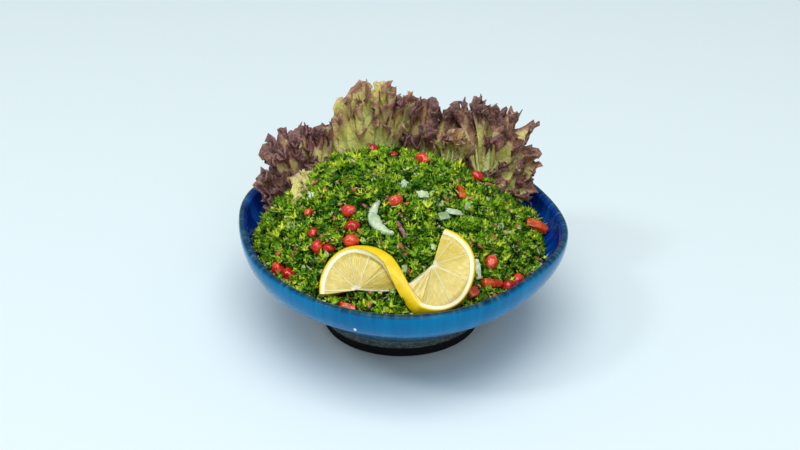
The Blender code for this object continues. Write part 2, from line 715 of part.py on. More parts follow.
def build_lettuce(parent):
    """Red leaves round the back; azimuths and spreads in degrees, the rest in metres."""
    common = {"thickness": 1.9 * MM, "tooth": 3 * MM, "stem": 3.5}
    leaves = {
        "lettuce_left": {
            "azimuth": 136.5, "spread": 17, "base": (86 * MM, 51 * MM), "height": 57 * MM,
            "drop_left": 0.22, "drop_right": 0.06, "lean": 0.48, "ruffle": 6.5 * MM,
            "waves": 4.5, "phase": 0.4, "grid": (20, 5)},
        "lettuce_back": {
            "azimuth": 103.5, "spread": 15.8, "base": (79 * MM, 49 * MM), "height": 86 * MM,
            "drop_left": 0.34, "drop_right": 0.08, "lean": 0.13, "ruffle": 6 * MM,
            "waves": 4.5, "phase": 2.0, "grid": (20, 5)},
        "lettuce_middle": {
            "azimuth": 79.5, "spread": 7.6, "base": (79 * MM, 49 * MM), "height": 80 * MM,
            "drop_left": 0.03, "drop_right": 0.26, "lean": 0.13, "ruffle": 5 * MM,
            "waves": 2.5, "phase": 0.9, "grid": (12, 5)},
        "lettuce_right": {
            "azimuth": 49, "spread": 22.3, "base": (82 * MM, 60 * MM), "height": 62 * MM,
            "drop_left": 0.1, "drop_right": 0.22, "lean": 0.34, "ruffle": 6.5 * MM,
            "waves": 5.5, "phase": 1.2, "grid": (24, 5)},
        "lettuce_curl": {
            "azimuth": 60, "spread": 7, "base": (70 * MM, 69 * MM), "height": 42 * MM,
            "drop_left": 0.1, "drop_right": 0.1, "lean": 0.08, "ruffle": 2.5 * MM,
            "waves": 1.5, "phase": 0.0, "grid": (8, 4)},
    }
    red = material("red_lettuce", srgb(96, 58, 56), 0.5)
    for name, own in leaves.items():
        new_object(name, leaf_mesh(name, {**common, **own}), red, parent, LEAF_SMOOTH)


def main():
    clear_scene()
    root = bpy.data.objects.new("salad_axis", None)
    bpy.context.scene.collection.objects.link(root)
    root.location = (AXIS_X, AXIS_Y, 0)
    cutters = bpy.data.collections.new("sockets")
    bpy.context.scene.collection.children.link(cutters)
    build_bowl(root)
    surface = build_heap(root, cutters)
    build_lemon(root, cutters)
    build_arils(root, cutters, surface)
    build_chunks(root, cutters, surface)
    build_lettuce(root)


main()
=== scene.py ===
"""Looks of the tabbouleh salad: glazed bowl, chopped herbs, red lettuce, lemon twist and toppings."""

import math
from collections import namedtuple

import bmesh
import bpy
import numpy as np
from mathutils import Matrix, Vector, noise
from mathutils.bvhtree import BVHTree


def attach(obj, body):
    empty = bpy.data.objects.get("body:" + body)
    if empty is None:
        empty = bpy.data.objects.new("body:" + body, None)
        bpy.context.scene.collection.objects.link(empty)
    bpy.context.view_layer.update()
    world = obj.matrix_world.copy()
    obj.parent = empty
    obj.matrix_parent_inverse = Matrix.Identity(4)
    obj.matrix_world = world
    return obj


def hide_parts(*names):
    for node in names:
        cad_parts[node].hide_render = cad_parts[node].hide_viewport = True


bl_info = {
    "name": "Tabbouleh Bowl",
    "version": (1, 0, 0),
    "blender": (4, 5, 0),
    "location": "View3D > Sidebar > Salad",
    "description": "Glazed bowl of tabbouleh with lettuce, lemon and pomegranate",
    "category": "Add Mesh",
}

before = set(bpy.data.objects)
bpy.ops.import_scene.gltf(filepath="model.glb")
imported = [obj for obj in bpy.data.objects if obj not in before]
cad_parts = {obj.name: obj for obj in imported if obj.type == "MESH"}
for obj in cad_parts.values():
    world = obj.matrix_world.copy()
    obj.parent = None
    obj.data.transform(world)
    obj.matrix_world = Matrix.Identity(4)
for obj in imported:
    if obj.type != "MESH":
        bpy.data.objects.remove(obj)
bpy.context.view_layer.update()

MM = 0.001
TAU = math.tau

# The bowl's upright axis in the frame, then the shapes about that axis, all as in the CAD.
AXIS = (-0.3 * MM, 3.5 * MM, 0.0)
RIM_HEIGHT = 73.5 * MM
LIP_RADIUS = 2.6 * MM
WALL = 6 * MM
FOOT_RADIUS = 54 * MM
FOOT_HEIGHT = 7 * MM
FOOT_CHAMFER = 1 * MM
FOOT_RING_WIDTH = 9 * MM
FOOT_RECESS = 4 * MM
RECESS_SLANT = 2 * MM
FOOT_EASE = 0.6 * MM
FOOT_FLARE = (0.5 * MM, 1.2 * MM)
FLOOR_TOP = 12.5 * MM
# The inner wall ends this far above the floor and rounds into it over this width.
COVE_HEIGHT = 4 * MM
COVE_WIDTH = 18 * MM
COVE_SHARES = (0.33, 0.66, 1.0)
LIP_ANGLES = (22, 45, 68, 90, 112, 135, 158)
BODY_START = (59 * MM, 14 * MM)
BEND_START = (106 * MM, 52 * MM)
RIM_WAVES = ((2, 0.037, 103), (3, 0.026, 33), (4, 0.0124, 56), (5, 0.0148, -5))
RIM_LIFTS = ((2, 0.55 * MM, 14), (3, 1.9 * MM, -45))
WAVE_REACH = 1.3
BOWL_COLUMNS = 180
# Heights where the black foot ends and where the glaze begins, and the glaze's wander.
FOOT_LINE = (7.1 * MM, 7.9 * MM)
GLAZE_LINE = (21.4 * MM, 22.6 * MM)
GLAZE_WANDER = 4.5 * MM
GLAZE_DEPTH = 0.7 * MM
# Painted highlight: a small white glint on the glaze at the front, and one over its half sizes.
GLINT_AT = (-28 * MM, -108 * MM, 57 * MM)
GLINT_STRETCH = (1 / (1.0 * MM), 1 / (8 * MM), 1 / (1.7 * MM))
WALL_STEPS = 14

HEAP_TOP = 111 * MM
HEAP_SHELF = 46 * MM
HEAP_CREST = (-18 * MM, 22 * MM)
HEAP_LEFT = 88 * MM
HEAP_RIGHT = 124 * MM
HEAP_FRONT = 128 * MM
HEAP_BACK = 50 * MM
HEAP_LEFT_POWER = 2.6
HEAP_RIGHT_POWER = 1.95
HEAP_DEPTH_POWER = 2.2
POCKET_CENTRE = (-77 * MM, 52 * MM)
POCKET_RADIUS = 20 * MM
POCKET_DEPTH = 42 * MM
LUMP_HEIGHT = 1.5 * MM
LUMP_PITCHES = (31 * MM, 23 * MM, 17 * MM)
# Turn of the first set of lumps and from one set to the next, in radians.
LUMP_TURN = 0.7
LUMP_TURN_STEP = 1.1
HEAP_GAP = 1 * MM
HEAP_EDGE_RANGE = (60 * MM, 125 * MM)
EDGE_HALVINGS = 30
# Core under the loose bits: its grid, depth below the heap's outline, gap to the wall, the
# outer share of its way out over which the lumps die down, and its own roughness as size,
# depth and offset of two layers of noise.
CORE_COLUMNS = 200
CORE_RINGS = 74
CORE_UNDER_RINGS = 8
CORE_SINK = 2.4 * MM
CORE_GAP = 0.3 * MM
CALM_SHARE = 1 / 12
CORE_ROUGHNESS = ((6.5 * MM, 1.5 * MM, 0.0), (3 * MM, 0.9 * MM, 7.3))
# In front of this line the core stays this gap below the lemon, which is looked for this far
# to each side; tufts of the loose bits then rise this much.
LEMON_FRONT = -40 * MM
LEMON_GAP = 0.7 * MM
LEMON_REACH = 1.6 * MM
CLUMP_RISE = 3.2 * MM
# Tufts and gaps of the chopped herbs as layers of noise, together about -1 to 1. They raise the loose
# bits and also paint light and shade on them: lighter on top of a tuft, darker in its gaps.
CLUMPS = ((7.5 * MM, 1.3, 3.1), (4 * MM, 0.7, 9.7))

SLICE_THICKNESS = 8 * MM
SLICE_CORE = 0.25 * MM
PITH_DEPTH = 5 * MM
RIND_BULGE = 0.7 * MM
BOARD_ORIGIN = (0.0, -81.8 * MM, 73.3 * MM)
BOARD_LEAN = 62
LEFT_CORE = (-27 * MM, -5 * MM, 0.0)
RIGHT_CORE = (19.4 * MM, 10.5 * MM, -7 * MM)
LEFT_SPAN = (188, 48)
RIGHT_SPAN = (252, 430)
TURN_START = 100
TURN_AT_STRIP = 45
TURN_END = 305
STRIP_PULL = 0.6
# Shares of the strip where the left half's flesh ends and the right half's begins.
STRIP_BARE = (0.4, 0.6)
LEFT_STEPS = 10
STRIP_STEPS = 8
RIGHT_STEPS = 11
# Left half: reach towards the strip and away from it, reach upwards, and its place out of
# the board at the core, with how far it comes out sideways and leans back upwards.
LEFT_REACH = (27 * MM, 23 * MM)
LEFT_RISE = 26.5 * MM
LEFT_OUT = (2.5 * MM, 3 * MM, -9.5 * MM)
# Right half: reach sideways, reach upwards and downwards, and the same for its place out.
RIGHT_REACH = 26 * MM
RIGHT_RISE = (23 * MM, 29.5 * MM)
RIGHT_OUT = (-7.5 * MM, -13.5 * MM)
# Where each of the seven sides of the slice's section starts, in shares of the way round.
SECTION_STOPS = (0, 0.3, 0.4, 0.47, 0.54, 0.64, 0.94, 1.0)
SEGMENT_TURN = 38
LEMON_GRID = (216, 60)
# Depths in mm below the rind over which zest turns to pith and pith to flesh.
PITH_FROM = (0.6, 1.3)
FLESH_FROM = (2.6, 3.3)

# Points closer than this are merged; cut edges are eased by this much.
MERGE = 0.01 * MM
CUT_BEVEL = 0.35 * MM


def tint(red, green, blue):
    """Scene-linear colour of an 8-bit one."""
    shares = np.array((red, green, blue)) / 255
    linear = np.where(shares <= 0.04045, shares / 12.92, ((shares + 0.055) / 1.055) ** 2.4)
    return tuple(float(value) for value in linear)


# Materials ----------------------------------------------------------------------------


def arithmetic(operation):
    """A sign between two values, and its mirrored form, as Math nodes."""
    def plain(value, other):
        return value.finish.maths(operation, value, other)

    def mirrored(value, other):
        return value.finish.maths(operation, other, value)
    return plain, mirrored


class Value:
    """A node's output, so that arithmetic on it adds Math nodes."""

    def __init__(self, finish, socket):
        self.finish = finish
        self.socket = socket

    __add__, __radd__ = arithmetic("ADD")
    __sub__, __rsub__ = arithmetic("SUBTRACT")
    __mul__, __rmul__ = arithmetic("MULTIPLY")
    __truediv__ = arithmetic("DIVIDE")[0]


class Finish:
    """One material under construction."""

    def __init__(self, name, uniform):
        self.material = bpy.data.materials.new(name)
        self.material.use_nodes = True
        self.tree = self.material.node_tree
        self.skin = self.tree.nodes["Principled BSDF"]
        for socket, value in uniform.items():
            self.skin.inputs[socket].default_value = value

    def node(self, kind, settings, inputs, output=0):
        """Adds a node: its settings first, then the values or links of its sockets."""
        made = self.tree.nodes.new("ShaderNode" + kind)
        for key, value in settings.items():
            if key == "stops":
                for index, (place, colour) in enumerate(value):
                    if index > 1:
                        made.color_ramp.elements.new(place)
                    made.color_ramp.elements[index].position = place
                    made.color_ramp.elements[index].color = (*colour, 1.0)
            else:
                setattr(made, key, value)
        for key, value in inputs.items():
            if isinstance(value, Value):
                self.tree.links.new(value.socket, made.inputs[key])
            else:
                made.inputs[key].default_value = value
        return Value(self, made.outputs[output])

    def place(self):
        return self.node("TexCoord", {}, {}, "Object")

    def maths(self, operation, first, second=0.0):
        return self.node("Math", {"operation": operation}, {0: first, 1: second})

    def own(self, name, output="Fac"):
        """An attribute that the piece itself carries."""
        return self.node("Attribute", {"attribute_name": name}, {}, output)

    def cloud(self, scale, detail=3.0, at=None, twist=0.0):
        """Soft noise from 0 to 1."""
        spot = at or self.place()
        inputs = {"Vector": spot, "Scale": scale, "Detail": detail, "Distortion": twist}
        return self.node("TexNoise", {}, inputs, "Fac")

    def ramp(self, share, stops):
        return self.node("ValToRGB", {"stops": stops}, {0: share})

    def fade(self, value, low, high):
        """0 at low, 1 at high, smooth between."""
        inputs = {"Value": value, "From Min": low, "From Max": high}
        return self.node("MapRange", {"interpolation_type": "SMOOTHSTEP"}, inputs)

    def blend(self, share, first, second):
        """Colour that goes from first to second."""
        colours = [(*c, 1.0) if isinstance(c, tuple) else c for c in (first, second)]
        inputs = {0: share, 6: colours[0], 7: colours[1]}
        return self.node("Mix", {"data_type": "RGBA"}, inputs, 2)

    def stretch(self, vector, factors):
        """The vector with each part multiplied."""
        return self.node("VectorMath", {"operation": "MULTIPLY"}, {0: vector, 1: factors})

    def relief(self, height, depth, strength=1.0):
        """Bumps of this depth in metres on the surface."""
        inputs = {"Height": height, "Distance": depth, "Strength": strength}
        return self.node("Bump", {}, inputs, "Normal")

    def wear(self, colour, roughness=None, bumps=None):
        """Links these to the Principled shader and gives the material back."""
        for socket, value in (("Base Color", colour), ("Roughness", roughness), ("Normal", bumps)):
            if value is not None:
                self.tree.links.new(value.socket, self.skin.inputs[socket])
        return self.material


# Meshes -------------------------------------------------------------------------------


def unit(vectors):
    """Vectors, one or a row of them, made of length 1."""
    return vectors / np.linalg.norm(vectors, axis=-1, keepdims=True)


def deselect():
    """Nothing selected, nothing active in edit mode."""
    for other in bpy.context.selected_objects:
        other.select_set(False)


def add_object(name, data):
    made = bpy.data.objects.new(name, data)
    bpy.context.scene.collection.objects.link(made)
    return made


def make_active(piece):
    deselect()
    piece.select_set(True)
    bpy.context.view_layer.objects.active = piece


def apply_modifier(piece, kind, settings):
    """Adds one modifier and applies it."""
    make_active(piece)
    made = piece.modifiers.new(kind.lower(), kind)
    for key, value in settings.items():
        setattr(made, key, value)
    bpy.ops.object.modifier_apply(modifier=made.name)


def coordinates(vertices):
    return np.array([tuple(vert.co) for vert in vertices])


def move_points(mesh, points):
    mesh.vertices.foreach_set("co", points.astype(np.float32).ravel())


def set_attributes(mesh, attributes):
    """Float or vector attributes, one value for each vertex."""
    for name, values in attributes.items():
        kind, key = ("FLOAT", "value") if values.ndim == 1 else ("FLOAT_VECTOR", "vector")
        made = mesh.attributes.new(name, kind, "POINT")
        made.data.foreach_set(key, np.ascontiguousarray(values, dtype=np.float32).ravel())


def from_arrays(name, points, triangles, attributes=None, smooth=False):
    """A piece from arrays of points and triangles, already in the frame."""
    mesh = bpy.data.meshes.new(name)
    mesh.vertices.add(len(points))
    mesh.vertices.foreach_set("co", np.ascontiguousarray(points, dtype=np.float32).ravel())
    mesh.loops.add(3 * len(triangles))
    mesh.loops.foreach_set("vertex_index", np.ascontiguousarray(triangles, dtype=np.int32).ravel())
    mesh.polygons.add(len(triangles))
    mesh.polygons.foreach_set("loop_start", np.arange(0, 3 * len(triangles), 3, dtype=np.int32))
    mesh.update(calc_edges=True)
    mesh.validate()
    set_attributes(mesh, attributes or {})
    if smooth:
        mesh.shade_smooth()
    return add_object(name, mesh)


def shaped_grid(name, columns, rows, shape):
    """A grid whose own coordinates, -1 to 1 across and 0 to 1 up, become points in the frame."""
    deselect()
    bpy.ops.mesh.primitive_grid_add(x_subdivisions=columns, y_subdivisions=rows, size=2)
    piece = bpy.context.object
    piece.name = name
    flat = coordinates(piece.data.vertices)
    points, attributes = shape(flat[:, 0], (flat[:, 1] + 1) / 2)
    move_points(piece.data, points)
    set_attributes(piece.data, attributes)
    piece.data.shade_smooth()
    piece.data.update()
    return piece


def join(name, pieces):
    """Several pieces made one."""
    make_active(pieces[0])
    for piece in pieces[1:]:
        piece.select_set(True)
    bpy.ops.object.join()
    pieces[0].name = name
    return pieces[0]


def outward(piece, merge=0.0):
    """Merges doubles and turns every face outwards."""
    work = bmesh.new()
    work.from_mesh(piece.data)
    if merge:
        bmesh.ops.remove_doubles(work, verts=work.verts, dist=merge)
    bmesh.ops.recalc_face_normals(work, faces=work.faces)
    work.to_mesh(piece.data)
    work.free()


def settle(piece, material, nodes=()):
    """Gives the piece its finish and its place in the frame."""
    piece.data.materials.clear()
    piece.data.materials.append(material)
    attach(piece, "root")
    if nodes:
        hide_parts(*nodes)


def cloud_at(points, size, offset=0.0):
    """Soft noise from -1 to 1 at each point, for lumps of this size."""
    shift = Vector((offset, offset, offset))
    return np.array([noise.noise(Vector(p) / size + shift) for p in points])


def layered(points, layers):
    """Sum of soft noises, each with its size, its depth and its offset."""
    return sum(depth * cloud_at(points, size, offset) for size, depth, offset in layers)


# Bowl ---------------------------------------------------------------------------------


def waves(table, azimuth):
    """Sum of cosines round the bowl, each with its count, its size and where it peaks."""
    return sum(size * np.cos(count * (azimuth - math.radians(peak)))
               for count, size, peak in table)


def rise_of(height):
    """0 up to the top of the foot, 1 at the rim."""
    return np.maximum(0.0, (height - FOOT_HEIGHT) / (RIM_HEIGHT - FOOT_HEIGHT))


def spread_at(height, azimuth):
    """Share by which the rim's waves widen the round profile here."""
    return 1 + waves(RIM_WAVES, azimuth) * np.minimum(1.0, WAVE_REACH * rise_of(height))


def polar(radius, azimuth, height):
    return np.stack((radius * np.cos(azimuth), radius * np.sin(azimuth), height), axis=-1)


def wavy(radius, height, azimuth):
    """Points of the round profile moved out and up by the rim's waves."""
    lifted = height + waves(RIM_LIFTS, azimuth) * rise_of(height) ** 2
    return polar(radius * spread_at(height, azimuth), azimuth, lifted) + AXIS


def wall_rows(inset, steps):
    """Radius and height up the wall: a cone, then an arc that ends upright."""
    start, bend = np.array(BODY_START), np.array(BEND_START)
    slope = math.atan2(bend[0] - start[0], bend[1] - start[1])
    arc = (RIM_HEIGHT - LIP_RADIUS - bend[1]) / math.sin(slope)
    across = np.array((-math.cos(slope), math.sin(slope)))
    rows = [start + (bend - start) * i / steps + across * inset for i in range(steps + 1)]
    for i in range(1, steps + 1):
        angle = slope * (1 - i / steps)
        radius = bend[0] + arc * (math.cos(angle) - math.cos(slope))
        height = bend[1] + arc * (math.sin(slope) - math.sin(angle))
        rows.append(np.array((radius - inset * math.cos(angle), height + inset * math.sin(angle))))
    return rows


def inner_rows(inset=0.0):
    """Inside of the bowl from the lip down to the edge of its floor."""
    floor = FLOOR_TOP + inset
    wall = wall_rows(WALL + inset, WALL_STEPS)
    kept = [row for row in wall if row[1] > floor + COVE_HEIGHT][::-1]
    low = kept[-1]
    for share in COVE_SHARES:
        height = floor + (low[1] - floor) * (1 - share) ** 2
        kept.append(np.array((low[0] - COVE_WIDTH * share, height)))
    return kept


def bowl_rows():
    """The whole turned profile, from under the foot over the lip to the inner floor."""
    ring_inner = FOOT_RADIUS - FOOT_RING_WIDTH
    chamfer = FOOT_CHAMFER * 0.3
    foot = [(ring_inner - RECESS_SLANT, FOOT_RECESS), (ring_inner, FOOT_EASE),
            (ring_inner + FOOT_EASE, 0), (FOOT_RADIUS - FOOT_CHAMFER, 0),
            (FOOT_RADIUS - chamfer, chamfer), (FOOT_RADIUS, FOOT_CHAMFER),
            (FOOT_RADIUS + FOOT_FLARE[0], FOOT_HEIGHT - 0.4 * MM),
            (FOOT_RADIUS + FOOT_FLARE[1], FOOT_HEIGHT)]
    outer = wall_rows(0, WALL_STEPS)
    middle = outer[-1] - (LIP_RADIUS, 0)
    lip = [middle + LIP_RADIUS * np.array((math.cos(a), math.sin(a)))
           for a in np.radians(LIP_ANGLES)]
    return [np.array(row) for row in foot] + outer + lip + inner_rows()


def make_bowl_mesh():
    """Ring extruded up the profile row by row, closed at both centres, then made wavy."""
    rows = bowl_rows()
    deselect()
    first = rows[0]
    bpy.ops.mesh.primitive_circle_add(vertices=BOWL_COLUMNS, radius=first[0],
                                      location=(0, 0, first[1]), fill_type="TRIFAN")
    piece = bpy.context.object
    bpy.ops.object.transform_apply(location=True, rotation=False, scale=False)
    bpy.ops.object.mode_set(mode="EDIT")
    bpy.ops.mesh.select_mode(type="EDGE")
    bpy.ops.mesh.select_all(action="SELECT")
    bpy.ops.mesh.region_to_loop()
    for before, after in zip(rows, rows[1:]):
        bpy.ops.mesh.extrude_edges_move()
        growth = after[0] / before[0]
        bpy.ops.transform.resize(value=(growth, growth, 1), center_override=(0, 0, 0))
        bpy.ops.transform.translate(value=(0, 0, after[1] - before[1]))
    bpy.ops.mesh.extrude_edges_move()
    bpy.ops.mesh.merge(type="CENTER")
    bpy.ops.object.mode_set(mode="OBJECT")
    points = coordinates(piece.data.vertices)
    radius = np.hypot(points[:, 0], points[:, 1])
    azimuth = np.arctan2(points[:, 1], points[:, 0])
    profile = np.array([(0.0, FOOT_RECESS)] + rows + [(0.0, rows[-1][1])])
    travel = np.concatenate(([0], np.cumsum(np.hypot(*np.diff(profile, axis=0).T))))
    gaps = np.hypot(radius[:, None] - profile[:, 0], points[:, 2, None] - profile[:, 1])
    way = travel[gaps.argmin(axis=1)]
    lip = travel[1 + len(rows) - len(inner_rows()) - (len(LIP_ANGLES) + 1) // 2]
    move_points(piece.data, wavy(radius, points[:, 2], azimuth))
    around = np.stack((np.cos(azimuth), np.sin(azimuth), way), axis=-1)
    set_attributes(piece.data, {"past_lip": way - lip, "around": around})
    outward(piece)
    piece.data.shade_smooth()
    return piece


def glaze_finish(look):
    """Blue glaze that breaks dark at the lip and stops above a bare grey band and a black foot."""
    finish = Finish("blue_glaze", {"IOR": 1.4, "Specular IOR Level": 0.15})
    past = finish.own("past_lip")
    around = finish.own("around", "Vector")
    height = finish.node("SeparateXYZ", {}, {0: finish.place()}, 2)
    streak = finish.cloud(1.0, 5.0, finish.stretch(around, (34, 34, 26)))
    broad = finish.cloud(1.0, 3.0, finish.stretch(around, (2.2, 2.2, 14)))
    fine = finish.cloud(420.0, 3.0)
    outside = finish.ramp(streak * 0.45 + broad * 0.55, (
        (0.25, look["glaze_deep"]), (0.5, look["glaze_outside"]), (0.78, look["glaze_light"])))
    low = finish.fade(height + broad * (20 * MM), 28 * MM, 56 * MM)
    outside = finish.blend(low, tint(0, 62, 104), outside)
    inside = finish.ramp(streak * 0.7 + broad * 0.3, (
        (0.36, tint(0, 26, 92)), (0.52, look["glaze_inside"]), (0.68, tint(14, 86, 172))))
    body = finish.blend(finish.fade(past, -1 * MM, 2 * MM), outside, inside)
    near = 1 - finish.fade(finish.maths("ABSOLUTE", past + 0.6 * MM) + (broad - 0.5) * (3 * MM),
                           0.6 * MM, 3.2 * MM)
    lip = finish.ramp(streak, (
        (0.35, tint(8, 22, 40)), (0.52, look["lip"]), (0.72, tint(82, 104, 100))))
    body = finish.blend(near * 0.85, body, lip)
    wander = finish.cloud(1.0, 2.0, finish.stretch(around, (3.4, 3.4, 0))) - 0.5
    line = height + wander * GLAZE_WANDER
    bare = finish.blend(finish.fade(fine, 0.35, 0.7), tint(70, 78, 78), look["bare"])
    glazed = finish.fade(line, *GLAZE_LINE)
    body = finish.blend(glazed, bare, body)
    foot = 1 - finish.fade(height, *FOOT_LINE)
    body = finish.blend(foot, body, finish.blend(fine, tint(20, 20, 22), look["foot"]))
    # Painted highlight: the mask below paints a white glint on the glaze at the front.
    off = finish.stretch(finish.node("VectorMath", {"operation": "SUBTRACT"},
                                     {0: finish.place(), 1: GLINT_AT}), GLINT_STRETCH)
    chip = 1 - finish.fade(finish.node("VectorMath", {"operation": "LENGTH"}, {0: off}, 1)
                           + (fine - 0.5) * 0.8, 0.7, 1.1)
    body = finish.blend(chip, body, tint(250, 250, 240))
    rough = 0.7 - glazed * 0.62 + fine * 0.05
    thickness = glazed * 0.6 + streak * 0.18 + broad * 0.5
    made = finish.wear(body, rough, finish.relief(thickness, GLAZE_DEPTH, 0.5))
    clay = finish.node("BsdfPrincipled", {},
                       {"Base Color": body, "Roughness": 0.85, "Specular IOR Level": 0.05})
    skin = Value(finish, finish.skin.outputs[0])
    both = finish.node("MixShader", {}, {0: glazed, 1: clay, 2: skin})
    finish.tree.links.new(both.socket, finish.tree.nodes["Material Output"].inputs["Surface"])
    return made


# Heap ---------------------------------------------------------------------------------


def heap_height(x, y):
    """Smooth height of the heap above the table; x and y about the bowl's axis."""
    left = x < HEAP_CREST[0]
    side = np.abs(x - HEAP_CREST[0]) / np.where(left, HEAP_LEFT, HEAP_RIGHT)
    sideways = side ** np.where(left, HEAP_LEFT_POWER, HEAP_RIGHT_POWER)
    reach = np.where(y < HEAP_CREST[1], HEAP_FRONT, HEAP_BACK)
    lengthways = (np.abs(y - HEAP_CREST[1]) / reach) ** HEAP_DEPTH_POWER
    rise = (HEAP_TOP - HEAP_SHELF) * np.maximum(0.0, 1 - sideways - lengthways)
    off = (x - POCKET_CENTRE[0]) ** 2 + (y - POCKET_CENTRE[1]) ** 2
    pocket = POCKET_DEPTH * np.exp(-off / (2 * POCKET_RADIUS ** 2))
    return HEAP_SHELF + np.maximum(0.0, rise - pocket)


def heap_lumps(x, y):
    total = 0.0
    for i, pitch in enumerate(LUMP_PITCHES):
        turn = LUMP_TURN + LUMP_TURN_STEP * i
        along = x * math.cos(turn) + y * math.sin(turn)
        across = y * math.cos(turn) - x * math.sin(turn)
        total = total + np.sin(TAU * along / pitch + i) * np.cos(TAU * across / pitch)
    return LUMP_HEIGHT * total


def wall_radius(height, azimuth, rows):
    """Radius of the wall's inside at this height and azimuth."""
    table = np.array(rows)[::-1]
    return np.interp(height, table[:, 1], table[:, 0]) * spread_at(height, azimuth)


def heap_edge(azimuth, rows):
    """Radius where the heap's surface meets the wall."""
    near, far = (np.full_like(azimuth, radius) for radius in HEAP_EDGE_RANGE)
    for _ in range(EDGE_HALVINGS):
        middle = (near + far) / 2
        height = heap_height(middle * np.cos(azimuth), middle * np.sin(azimuth))
        within = middle < wall_radius(height, azimuth, rows)
        near = np.where(within, middle, near)
        far = np.where(within, far, middle)
    return near


def node_tree(names):
    """Search tree over the surfaces of these CAD nodes."""
    points = []
    faces = []
    for name in names:
        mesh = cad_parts[name].data
        start = len(points)
        points.extend(vert.co.copy() for vert in mesh.vertices)
        faces.extend(tuple(start + i for i in face.vertices) for face in mesh.polygons)
    return BVHTree.FromPolygons(points, faces)


def make_core_mesh():
    """Lumpy core a little below the heap's outline, and how many triangles are its top."""
    columns, rings = CORE_COLUMNS, CORE_RINGS
    rows = inner_rows(HEAP_GAP + CORE_GAP)
    azimuth = TAU * np.arange(columns) / columns
    edge = heap_edge(azimuth, rows)
    share = (np.arange(1, rings + 1) / rings)[:, None]
    x = edge * share * np.cos(azimuth)
    y = edge * share * np.sin(azimuth)
    calm = np.minimum(1.0, (1 - share) / CALM_SHARE)
    height = heap_height(x, y) + heap_lumps(x, y) * calm - CORE_SINK
    flat = np.stack((x, y, height), axis=-1).reshape(-1, 3)
    flat[:, 2] += layered(flat, CORE_ROUGHNESS)
    lemon = node_tree(["lemon_twist"])
    up = Vector((0, 0, 1))
    for point in flat:
        if point[1] > LEMON_FRONT:
            continue
        for dx, dy in ((0, 0), (1, 0), (-1, 0), (0, 1), (0, -1)):
            start = Vector((point[0] + dx * LEMON_REACH + AXIS[0],
                            point[1] + dy * LEMON_REACH + AXIS[1], FLOOR_TOP))
            hit = lemon.ray_cast(start, up)[0]
            if hit is not None:
                point[2] = min(point[2], hit.z - LEMON_GAP)
    tops = flat.reshape(rings, columns, 3)
    low = rows[-1][1]
    under = []
    for step in range(1, CORE_UNDER_RINGS + 1):
        level = tops[-1, :, 2] + (low - tops[-1, :, 2]) * step / CORE_UNDER_RINGS
        under.append(polar(wall_radius(level, azimuth, rows), azimuth, level))
    grid = np.concatenate((tops, np.array(under)))
    crown = heap_height(np.zeros(1), np.zeros(1))[0] + heap_lumps(0.0, 0.0) - CORE_SINK
    points = np.concatenate(([(0, 0, crown)], grid.reshape(-1, 3), [(0, 0, low)])) + AXIS
    i = np.arange(columns)
    j = (i + 1) % columns
    triangles = [np.stack((i * 0, 1 + i, 1 + j), axis=-1)]
    for a in range(1, 1 + (len(grid) - 1) * columns, columns):
        b = a + columns
        triangles.append(np.stack((a + i, b + i, b + j), axis=-1))
        triangles.append(np.stack((a + i, b + j, a + j), axis=-1))
    triangles.append(np.stack((b + i, i * 0 + len(points) - 1, b + j), axis=-1))
    return points, np.concatenate(triangles), columns + 2 * columns * (rings - 1)


def herb_core_finish():
    """Painted shade: wet, very dark green between the loose bits, dark for the shade in the gaps of
    the heap.
    """
    finish = Finish("herb_core", {})
    small = finish.cloud(520.0, 4.0)
    large = finish.cloud(120.0, 2.0)
    colour = finish.ramp(small * 0.7 + large * 0.3, (
        (0.34, tint(2, 12, 0)), (0.5, tint(10, 32, 0)), (0.66, tint(36, 72, 2))))
    return finish.wear(colour, 0.35 + small * 0.3, finish.relief(small, 1.6 * MM))


def herb_finish(name, stops):
    """Leaf green that follows each bit's own tone, which holds painted light and shade from the tufts
    besides the bit's own random green.
    """
    finish = Finish(name, {"Specular IOR Level": 0.3})
    vein = finish.cloud(900.0, 2.0)
    colour = finish.ramp(finish.own("tone") + (vein - 0.5) * 0.25, stops)
    return finish.wear(colour, 0.34 + vein * 0.25, finish.relief(vein, 0.3 * MM))


def crumb_finish(name, dark, light, roughness):
    """Opaque or wet bits that vary from bit to bit."""
    finish = Finish(name, {"Coat Weight": 0.3, "Coat Roughness": 0.15})
    grain = finish.cloud(700.0, 3.0)
    colour = finish.blend(finish.own("tone") * 0.7 + grain * 0.3, dark, light)
    return finish.wear(colour, roughness + grain * 0.2, finish.relief(grain, 0.3 * MM))


# Loose bits ---------------------------------------------------------------------------

# Greens of the cut leaves from the darkest bit to the lightest, and their places on the ramp. The
# first set is painted shade, darker for the under layer that lies low in the heap.
TONE_STOPS = (0.0, 0.35, 0.68, 1.0)
PAINTED_SHADE_GREENS = ((2, 14, 0), (16, 52, 0), (60, 118, 0), (138, 190, 12))
LUSH_GREENS = ((14, 50, 0), (66, 134, 0), (150, 206, 10), (230, 246, 66))
PATCH_SIZE = 17 * MM


def leaflet_shape(rng, points, jag, ruffle, cup):
    """Jagged closed leaf fragment of unit size, thin at its outline."""
    i = np.arange(points)
    j = (i + 1) % points
    angle = TAU * (i + rng.uniform(-0.25, 0.25, points)) / points
    reach = 1 - jag * (i % 2) - rng.uniform(0, 0.35, points)
    bend = ruffle * np.where(i % 2 == 0, 1, -1) * rng.uniform(0.3, 1, points)
    narrow = rng.uniform(0.6, 0.95)
    swing = 0.25 * np.sin(2 * angle + rng.uniform(0, TAU))
    rim = np.stack((reach * np.cos(angle), reach * np.sin(angle) * narrow,
                    bend + cup * reach ** 2 + swing), axis=-1)
    middle = np.array(((0, 0, 0.09), (0, 0, -0.09)))
    top = np.stack((i, j, np.full(points, points)), axis=-1)
    under = np.stack((j, i, np.full(points, points + 1)), axis=-1)
    return np.concatenate((rim, middle)), np.concatenate((top, under))


